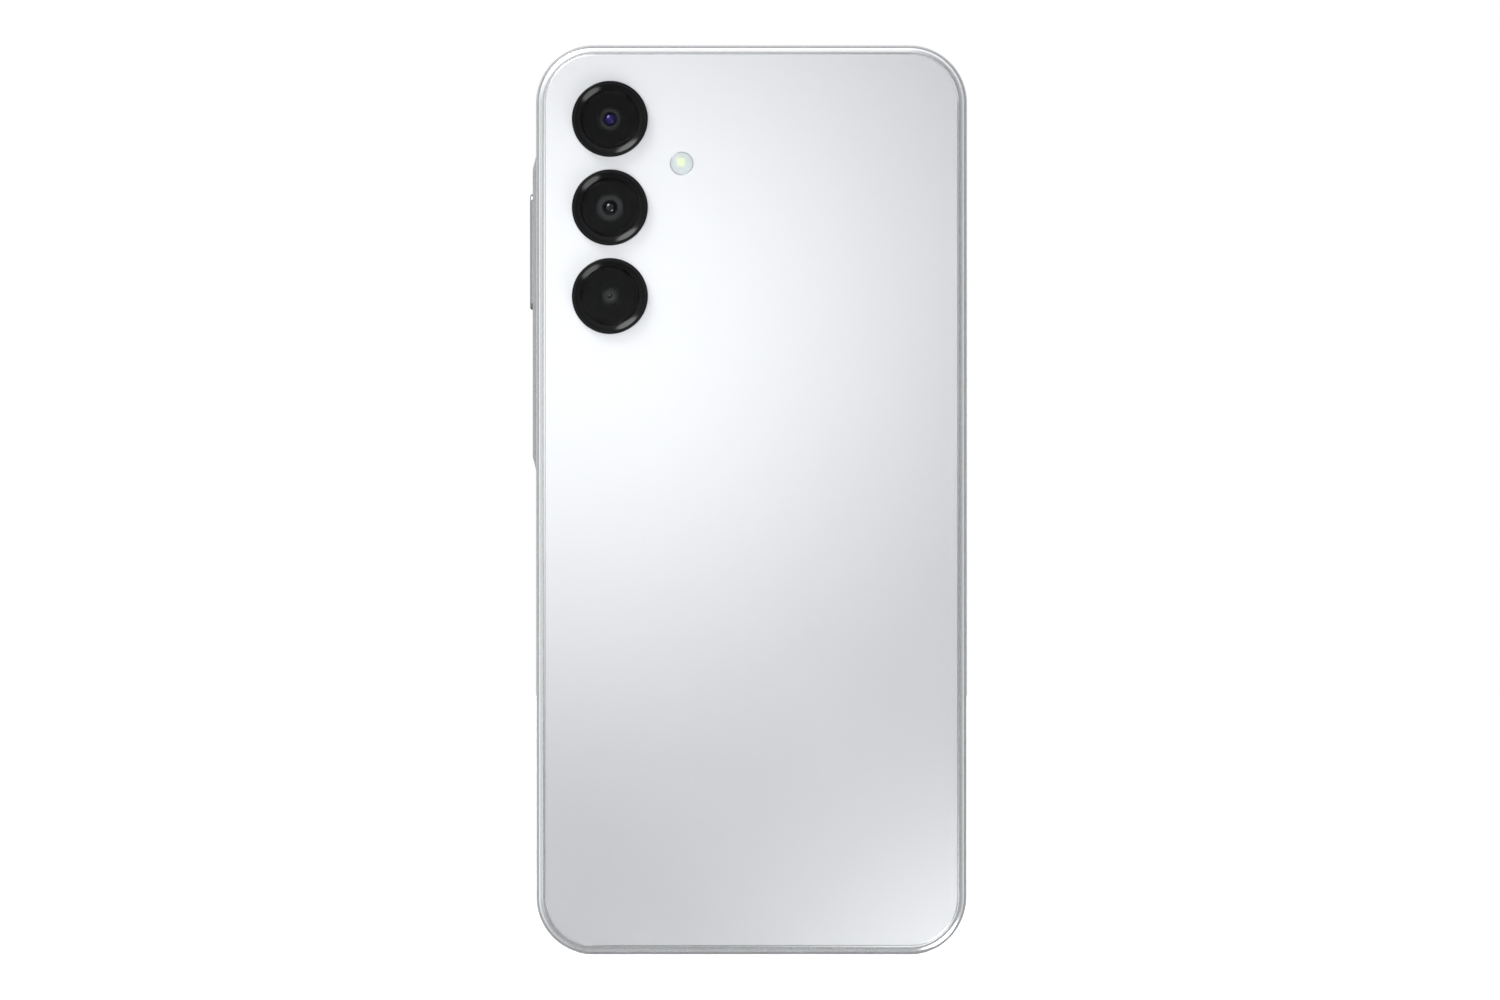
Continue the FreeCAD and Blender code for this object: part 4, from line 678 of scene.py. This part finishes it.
def makeLens(name, camera):
    shape = lensShape
    body = "focus_barrel" if name == "main" else "phone_body"
    barrel, top, opening, dome, rise = (camera[key] for key in ("barrel", "top", "opening", "dome", "rise"))
    floor = top - camera["sunk"]
    neck = barrel - shape["step"]
    wellFloor = floor - shape["wellBelow"]
    centre = (cameraX, camera["z"])
    # the barrel: stepped rings round a well that leads down to the front lens
    bm = turned([
        (0, 0.0), (barrel, 0.0), (barrel, top - shape["stepLow"]), (neck, top - shape["stepHigh"]),
        (neck, top - shape["collar"]),
        (opening + shape["ridge"] * (neck - opening), top - shape["ridgeDrop"]),
        (opening, top), (opening, wellFloor), (0, wellFloor),
    ], centre, steps=96)
    softenEdges(bm, sharpEdges(bm, 30), shape["rounding"], segments=2)
    finishPiece(name + "LensBarrel", bm, baffleGrey, body, [name + "_camera_lens"], angle=50)
    # the liner: a black funnel that narrows from the well's mouth to the lens
    mouth, throat = opening - shape["fit"], dome - shape["gap"]
    bm = turned([(mouth, top - shape["ridgeDrop"]), (dome + shape["gap"], floor + shape["mouth"]),
                 (throat, floor + shape["lip"]), (throat, floor - shape["under"]),
                 (mouth, floor - shape["under"])], centre, steps=64)
    finishPiece(name + "LensLiner", bm, linerBlack, body, angle=50)
    # the front lens: a shallow dome sunk in the well
    radius = (dome * dome + rise * rise) / (2 * rise)
    angles = [math.asin(dome / radius) * step / shape["arcSteps"] for step in range(shape["arcSteps"] + 1)]
    arc = [(radius * math.sin(reach), floor + rise - radius * (1 - math.cos(reach))) for reach in angles]
    bm = turned(arc + [(dome, floor - shape["gap"]), (0, floor - shape["gap"])], centre, steps=64)
    finishPiece(name + "FrontLens", bm, lensCoats[name], body, angle=60)
    if camera["corners"] == 6:
        # the small camera's six-sided retainer
        place = (cameraX, 0, camera["z"])
        bm = rod(shape["retainer"], top - shape["retainerBelow"], top + shape["retainerAbove"], place, 1,
                 steps=6)
        bore = rod(opening - shape["retainerFit"], top - 1, top + 1, place, 1, steps=32)
        bm = combined(bm, bore, "DIFFERENCE")
        finishPiece(name + "Retainer", bm, blackNylon, body, soften=0.02, angle=50)


def makeFlash():
    shape = flashShape
    bm = turned([(0, shape["bottom"]), (shape["radius"], shape["bottom"]), (shape["radius"], shape["top"]),
                 (0, shape["top"])], (shape["x"], shape["z"]), steps=64)
    softenEdges(bm, sharpEdges(bm, 60), shape["rounding"])
    finishPiece("flashDiffuser", bm, flashLens, "phone_body", ["flash_window"], angle=50)


makeBackCover()
for cameraName, cameraSizes in cameras.items():
    makeRing(cameraSizes)
    makeWindow(cameraSizes)
    makeLens(cameraName, cameraSizes)
makeFlash()
print("back cover and cameras made")


keys = {
    "volume": {"z": 127.1, "length": 20.95, "width": 2.5, "crown": 40.07, "rounding": 0.4,
               "tab": (3.7, 6.0), "pushers": (-7.5, 7.5), "body": "volume_rocker", "look": keyPaintWithPaintedShade,
               "slot": "key_plastic"},
    "power": {"z": 101.8, "length": 14.95, "width": 2.9, "crown": 39.42, "rounding": 0.15,
              "tab": (3.9, 10.0), "pushers": (0,), "body": "power_button", "look": sensorLacquerWithPaintedShade,
              "slot": "sensor_key"},
}


keyShape = {
    # where the cap starts, the tab that holds it in, and the pushers that reach the switches
    "seat": 35.95, "tabX": 36.25, "tabThick": 0.5, "tabCorner": 0.3,
    "pusher": 0.6, "pusherTip": 35.36, "pusherRoot": 36.1,
}


def makeKey(name, key):
    shape = keyShape
    y = frameShape["keyY"]
    bm = plate((key["crown"] - shape["seat"], key["width"], key["length"]),
               ((key["crown"] + shape["seat"]) / 2, y, key["z"]), 0, key["width"] / 2 - 0.01, steps=16)
    softenEdges(bm, edgesAt(bm, 0, key["crown"]), key["rounding"], segments=6)
    tab = plate((shape["tabThick"], *key["tab"]), (shape["tabX"], y, key["z"]), 0, shape["tabCorner"],
                steps=4)
    bm = combined(bm, tab, "UNION")
    for offset in key["pushers"]:
        pusher = rod(shape["pusher"], shape["pusherTip"], shape["pusherRoot"], (0, y, key["z"] + offset), 0,
                     steps=32)
        bm = combined(bm, pusher, "UNION")
    finishPiece(name + "KeyCap", bm, key["look"], key["body"], [name + "_key"], angle=45)


trayShape = {
    # the head that closes the slot, the carrier behind it and the hole for the eject pin
    "head": 1.55, "headWidth": 2.5, "headLength": 17.0, "headZ": 137.0, "headCorner": 1.24,
    "headRounding": 0.15,
    "carrierEnd": -8.6, "carrierThick": 0.9, "carrierLength": 13.6, "carrierZ": 136.0, "overlap": 0.2,
    "pinHole": 0.5, "pinZ": 143.7,
    # the two card beds: middle, width and length, with a window through each that leaves a rim
    "beds": ((-27.9, 15.4, 11.2), (-14.4, 9.0, 12.5)), "bedFloor": 0.25, "bedRim": 3, "bedCorner": 0.6,
}


def makeTray():
    shape = trayShape
    y = frameShape["trayY"]
    neck = -side + shape["head"]
    head = plate((shape["head"], shape["headWidth"], shape["headLength"]),
                 ((-side + neck) / 2, y, shape["headZ"]), 0, shape["headCorner"], steps=16)
    softenEdges(head, edgesAt(head, 0, -side), shape["headRounding"], segments=4)
    start, end = neck - shape["overlap"], shape["carrierEnd"]
    carrier = plate((end - start, shape["carrierThick"], shape["carrierLength"]),
                    ((start + end) / 2, y, shape["carrierZ"]), 1, 0.3, steps=4)
    bm = combined(head, carrier, "UNION")
    cutters = [rod(shape["pinHole"], -side - 1, neck + shape["overlap"], (0, y, shape["pinZ"]), 0, steps=32)]
    for x, across, up in shape["beds"]:
        # the bed starts above the carrier's floor, and its window goes right through
        bedY = y - shape["bedFloor"] + shape["carrierThick"] / 2
        cutters.append(plate((across, shape["carrierThick"], up), (x, bedY, shape["carrierZ"]), 1,
                             shape["bedCorner"], steps=6))
        cutters.append(plate((across - shape["bedRim"], 2.0, up - shape["bedRim"]),
                             (x, y, shape["carrierZ"]), 1, shape["bedCorner"], steps=6))
    for cutter in cutters:
        bm = combined(bm, cutter, "DIFFERENCE")
    finishPiece("cardTray", bm, framePaint, "card_tray", ["sim_tray"], soften=0.03, angle=45)


portShape = {
    # width, height, length, middle and corner of each solid in the port
    "shell": (8.94, 3.16, 7.25, 3.975, 1.57), "mouth": (8.34, 2.56, 9.0, 3.975, 1.27),
    "base": (8.3, 2.52, 1.9, 6.55, 1.24), "blade": (6.69, 0.7, 4.7, 3.3, 0.3), "bladeRounding": 0.15,
    "contact": (0.28, 0.03, 3.2), "contactZ": 3.4, "contactOut": 0.355, "contactPitch": 0.5, "contacts": 12,
}


def makePort():
    shape = portShape
    y = frameShape["portY"]

    def solid(name, steps):
        width, height, length, middle, corner = shape[name]
        return plate((width, height, length), (0, y, middle), 2, corner, steps)

    bm = combined(solid("shell", 16), solid("mouth", 16), "DIFFERENCE")
    finishPiece("portShell", bm, nickelPlate, "phone_body", ["usb_c_shell"], soften=0.06, angle=45)
    blade = solid("blade", 6)
    bladeTip = shape["blade"][3] - shape["blade"][2] / 2
    softenEdges(blade, edgesAt(blade, 2, bladeTip), shape["bladeRounding"])
    bm = combined(solid("base", 16), blade, "UNION")
    finishPiece("portTongue", bm, barrelBlack, "phone_body", ["usb_c_tongue"], angle=45)
    contacts = []
    for face in (-1, 1):
        for step in range(shape["contacts"]):
            x = (step - (shape["contacts"] - 1) / 2) * shape["contactPitch"]
            spot = (x, y + face * shape["contactOut"], shape["contactZ"])
            contacts.append(plate(shape["contact"], spot, 1))
    finishPiece("portContacts", joined(*contacts), goldPlate, "phone_body", angle=45)


for keyName, keySizes in keys.items():
    makeKey(keyName, keySizes)
makeTray()
makePort()
print("keys, tray and port made")


frontShape = {
    "glass": (76.1, 0.6, 162.6), "glassY": -3.65, "glassCorner": 9.5, "glassRounding": 0.25,
    "slit": (10.4, 2.0, 4.0), "slitZ": 164.9, "slitCorner": 0.3,  # the earpiece's slit
    # the border ink, open over the live area and over the front camera
    "ink": (75.7, 0.02, 162.2), "inkY": -3.335, "inkCorner": 9.3,
    "live": (70.3, 1, 155.4), "liveZ": 82.9, "liveCorner": 6.2,
    "cameraZ": 158.4, "inkRound": 2.9, "inkHole": 1.35, "neck": (5.8, 2, 6), "neckZ": 161.4,
    # the front lens from its middle to its edge and back to the base
    "lens": ((0, -2.95), (0.3, -2.98), (0.62, -3.07), (0.9, -3.12), (1.25, -3.28), (1.55, -3.28),
             (1.7, -3.1), (1.7, -0.65), (0, -0.65)),
}


def makeFront():
    shape = frontShape
    low, high = -4, -3  # cutters through the ink reach past both of its faces
    bm = plate(shape["glass"], (0, shape["glassY"], middleZ), 1, shape["glassCorner"], steps=28)
    outside = shape["glassY"] - shape["glass"][1] / 2
    softenEdges(bm, edgesAt(bm, 1, outside), shape["glassRounding"], segments=5)
    slit = plate(shape["slit"], (0, shape["glassY"], shape["slitZ"]), 1, shape["slitCorner"], steps=6)
    bm = combined(bm, slit, "DIFFERENCE")
    finishPiece("frontGlassPane", bm, frontClear, "phone_body", ["front_glass"], soften=0.03,
                angle=50)
    ink = plate(shape["ink"], (0, shape["inkY"], middleZ), 1, shape["inkCorner"], steps=28)
    live = plate(shape["live"], (0, shape["inkY"], shape["liveZ"]), 1, shape["liveCorner"], steps=20)
    camera = (0, 0, shape["cameraZ"])
    notch = combined(live, rod(shape["inkRound"], low, high, camera, 1, steps=64), "DIFFERENCE")
    notch = combined(notch, plate(shape["neck"], (0, shape["inkY"], shape["neckZ"]), 1), "DIFFERENCE")
    ink = combined(ink, notch, "DIFFERENCE")
    ink = combined(ink, rod(shape["inkHole"], low, high, camera, 1, steps=48), "DIFFERENCE")
    slit = plate(shape["slit"], (0, shape["inkY"], shape["slitZ"]), 1, shape["slitCorner"], steps=6)
    ink = combined(ink, slit, "DIFFERENCE")
    finishPiece("borderPrint", ink, borderInk, "phone_body", angle=50)
    lens = turned(shape["lens"], (0, shape["cameraZ"]), steps=64)
    finishPiece("selfieLens", lens, lensCoats["front"], "phone_body", ["front_camera_lens"],
                angle=50)


makeFront()
print("display side made")


looksOfNodes = {
    "cover_adhesive": foamTape, "display_adhesive": foamTape, "display_panel": displayLook,
    "graphite_sheet": graphiteFoil, "display_flex": flexAcross, "mid_plate": castPlate,
    "side_key_flex": flexAlong, "key_domes": stainless, "flash_led": ceramicWhite,
    "wide_camera_housing": barrelBlack, "main_camera_housing": barrelBlack,
    "macro_camera_housing": barrelBlack, "front_camera_housing": barrelBlack, "main_board": boardGreen,
    "sub_board": boardGreen, "processor_shield": nickelPlate, "radio_shield": nickelPlate,
    "processor_chip": epoxyBlack, "board_connectors": blackNylon, "microphones": nickelPlate,
    "main_flex": flexAcross, "coax_cable": cableJacket, "upper_bracket": blackNylon, "nfc_coil": coilCopper,
    "loudspeaker_case": blackNylon, "bracket_screws": nickelPlate, "loudspeaker_magnet": magnetNickel,
    "loudspeaker_diaphragm": filmBlack, "loudspeaker_mesh": wireMesh, "earpiece_case": blackNylon,
    "earpiece_magnet": magnetNickel, "earpiece_diaphragm": filmBlack, "earpiece_mesh": wireMesh,
    "motor_can": nickelPlate, "motor_rotor": tungsten, "battery_cell": batteryFoil,
    "battery_board": flexAcross, "sim_tray_gasket": siliconeGrey, "sim_socket": nickelPlate,
    "eject_rod": stainless, "eject_lever": stainless,
}
for node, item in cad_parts.items():
    if item.hide_render:
        continue
    item.data.materials.clear()
    item.data.materials.append(looksOfNodes[node])
print("CAD nodes that stay:", sum(not item.hide_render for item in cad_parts.values()))


studio = {
    "lens": 300.0, "sensor": 36.0, "viewWidth": 271.05, "aimX": 0.27, "near": 0.1, "far": 100,
    "floorGlow": 0.85, "floorRadius": 3.0, "floorDrop": 0.00005,  # the radius and the drop are in metres
    # how bright the room looks from right behind the object, over the dark belt beside it, to right ahead
    "room": ((0.0, 0.45), (0.3, 0.4), (0.42, 0.05), (0.5, 0.05), (0.545, 0.3), (0.6, 0.79), (0.71, 0.79),
             (0.8, 0.4), (1.0, 0.03)),
    "lean": (0.2, 0.0, 0.8),  # how much brighter the room is towards +X and towards the top
    # round lamps far away: where each is seen, its half angle and its glow
    "lamps": (((0.46, 0.495, 0.737), 16, 17.0), ((-0.549, 0.455, -0.701), 16, 12.0),
              ((0.419, 0.716, 0.559), 10, 7.0), ((0.36, 0.85, 0.4), 30, 0.5)),
    "lampFade": 4, "blue": 1.01,  # degrees over which a lamp's edge fades, and the room's faint blue
    # glowing cards: where each stands, what it faces, half its width and height, its turn and its glow
    "cards": {
        "sweepCard": {"at": (35, 304, 119), "aim": (35, 0, 119), "size": (117, 108), "turn": -19,
                      "strength": 1.62},
        "cornerCard": {"at": (-48, 304, -26), "aim": (-48, 0, -26), "size": (34, 55), "turn": 0,
                       "strength": 3.6},
        "displayCard": {"at": (-330, -420, -110), "aim": (0, 0, 82), "size": (190, 150), "turn": 25,
                        "strength": 1.3, "clear": True},
    },
}


def makeCamera():
    lens = bpy.data.cameras.new("studioCamera")
    lens.lens = studio["lens"]
    lens.sensor_width = studio["sensor"]
    lens.clip_start = studio["near"]
    lens.clip_end = studio["far"]
    camera = bpy.data.objects.new("studioCamera", lens)
    bpy.context.scene.collection.objects.link(camera)
    distance = studio["viewWidth"] * mm * studio["lens"] / studio["sensor"]
    camera.location = (studio["aimX"] * mm, coverShape["outside"] * mm + distance, middleZ * mm)
    camera.rotation_euler = (math.pi / 2, 0, math.pi)
    bpy.context.scene.camera = camera


def makeFloor():
    bm = bmesh.new()
    bmesh.ops.create_circle(bm, cap_ends=True, segments=64, radius=studio["floorRadius"],
                            matrix=Matrix.Translation((0, 0, -studio["floorDrop"])))
    floor = bpy.data.objects.new("studioFloor", meshOf(bm, "studioFloor"))
    bpy.context.scene.collection.objects.link(floor)
    white = surface("matWhiteSweep", "#F4F4F4", 0.0, 0.9, grain=2.0, depth=0.0, shift=0.01,
                    Emission_Color=(1, 1, 1, 1), Emission_Strength=studio["floorGlow"], IOR=1.2)
    floor.data.materials.append(white)
    floor.visible_glossy = False  # the lamps and cards below its level still reach the object
    floor.visible_shadow = False
    white.cycles.emission_sampling = "NONE"


def makeWorld():
    # white to the eye; to the finishes a room that is grey behind the object, dark beside it, bright past
    # that and dark right ahead, with round lamps in it
    world = bpy.data.worlds.new("studioRoom")
    bpy.context.scene.world = world
    world.use_nodes = True
    tree = world.node_tree
    tree.nodes.clear()
    place = addNode(tree, "TexCoord")
    apart = addNode(tree, "SeparateXYZ", {0: place.outputs["Generated"]})
    ramp = addNode(tree, "ValToRGB", {0: addNode(tree, "MapRange", {
        "Value": apart.outputs["Y"], "From Min": -1.0, "From Max": 1.0}).outputs[0]})
    stops = studio["room"]
    while len(ramp.color_ramp.elements) < len(stops):
        ramp.color_ramp.elements.new(0.5)
    for element, (spot, level) in zip(ramp.color_ramp.elements, stops):
        element.position = spot
        element.color = (level, level, level * studio["blue"], 1)
    lean = addNode(tree, "VectorMath", {0: place.outputs["Generated"], 1: studio["lean"]},
                   operation="DOT_PRODUCT")
    gain = addNode(tree, "Math", {0: lean.outputs["Value"], 1: 1.0}, operation="ADD")
    room = addNode(tree, "Background", {"Color": ramp.outputs[0], "Strength": gain.outputs[0]})
    for aim, halfAngle, glow in studio["lamps"]:
        near = addNode(tree, "VectorMath", {0: place.outputs["Generated"], 1: Vector(aim).normalized()},
                       operation="DOT_PRODUCT")
        edges = [math.cos(math.radians(halfAngle + way * studio["lampFade"])) for way in (1, -1)]
        spot = addNode(tree, "MapRange", {"Value": near.outputs["Value"], "From Min": edges[0],
                                          "From Max": edges[1], "To Max": glow},
                       interpolation_type="SMOOTHSTEP")
        lamp = addNode(tree, "Background", {"Color": (1, 1, 1, 1), "Strength": spot.outputs[0]})
        room = addNode(tree, "AddShader", {0: room.outputs[0], 1: lamp.outputs[0]})
    seen = addNode(tree, "Background", {"Color": (1, 1, 1, 1), "Strength": 1.0})
    ray = addNode(tree, "LightPath")
    both = addNode(tree, "MixShader", {0: ray.outputs["Is Camera Ray"], 1: room.outputs[0],
                                       2: seen.outputs[0]})
    addNode(tree, "OutputWorld", {0: both.outputs[0]})


def makeCard(name, at, aim, size, turn, strength, clear=False):
    # a black card with a soft oval glow towards aim, unseen by the camera: size holds its half sizes in mm;
    # a clear card has the glow alone
    bm = bmesh.new()
    bmesh.ops.create_grid(bm, x_segments=1, y_segments=1, size=1.0, calc_uvs=True)
    uvs = bm.loops.layers.uv.verify()
    for face in bm.faces:
        for loop in face.loops:
            loop[uvs].uv = (loop.vert.co.x, loop.vert.co.y)
    aimed = (Vector(aim) - Vector(at)).to_track_quat("Z", "Y").to_matrix().to_4x4()
    placed = (Matrix.Translation([part * mm for part in at]) @ aimed
              @ Matrix.Rotation(math.radians(turn), 4, "Z")
              @ Matrix.Diagonal((size[0] * mm, size[1] * mm, 1, 1)))
    bmesh.ops.transform(bm, matrix=placed, verts=bm.verts)
    card = bpy.data.objects.new(name, meshOf(bm, name))
    bpy.context.scene.collection.objects.link(card)
    card.visible_camera = False
    card.visible_shadow = False
    glow = bpy.data.materials.new(name)
    glow.use_nodes = True
    tree = glow.node_tree
    tree.nodes.clear()
    place = addNode(tree, "UVMap")
    reach = addNode(tree, "VectorMath", {0: place.outputs["UV"]}, operation="LENGTH")
    fade = addNode(tree, "MapRange", {"Value": reach.outputs["Value"], "From Min": 1.0, "From Max": 0.1,
                                      "To Min": 0.0, "To Max": strength}, interpolation_type="SMOOTHSTEP")
    facing = addNode(tree, "NewGeometry")
    light = addNode(tree, "Emission", {"Strength": fade.outputs[0], "Color": (1, 1, 1, 1)})
    through = addNode(tree, "BsdfTransparent")
    if clear:
        light = addNode(tree, "AddShader", {0: light.outputs[0], 1: through.outputs[0]})
        glow.cycles.emission_sampling = "NONE"  # reflections find it by themselves, with less grain
    both = addNode(tree, "MixShader", {0: facing.outputs["Backfacing"], 1: light.outputs[0],
                                       2: through.outputs[0]})
    addNode(tree, "OutputMaterial", {0: both.outputs[0]})
    card.data.materials.append(glow)


bpy.context.scene.view_settings.view_transform = "Standard"
makeCamera()
makeFloor()
makeWorld()
for cardName, cardSizes in studio["cards"].items():
    makeCard(cardName, **cardSizes)
print("studio made")
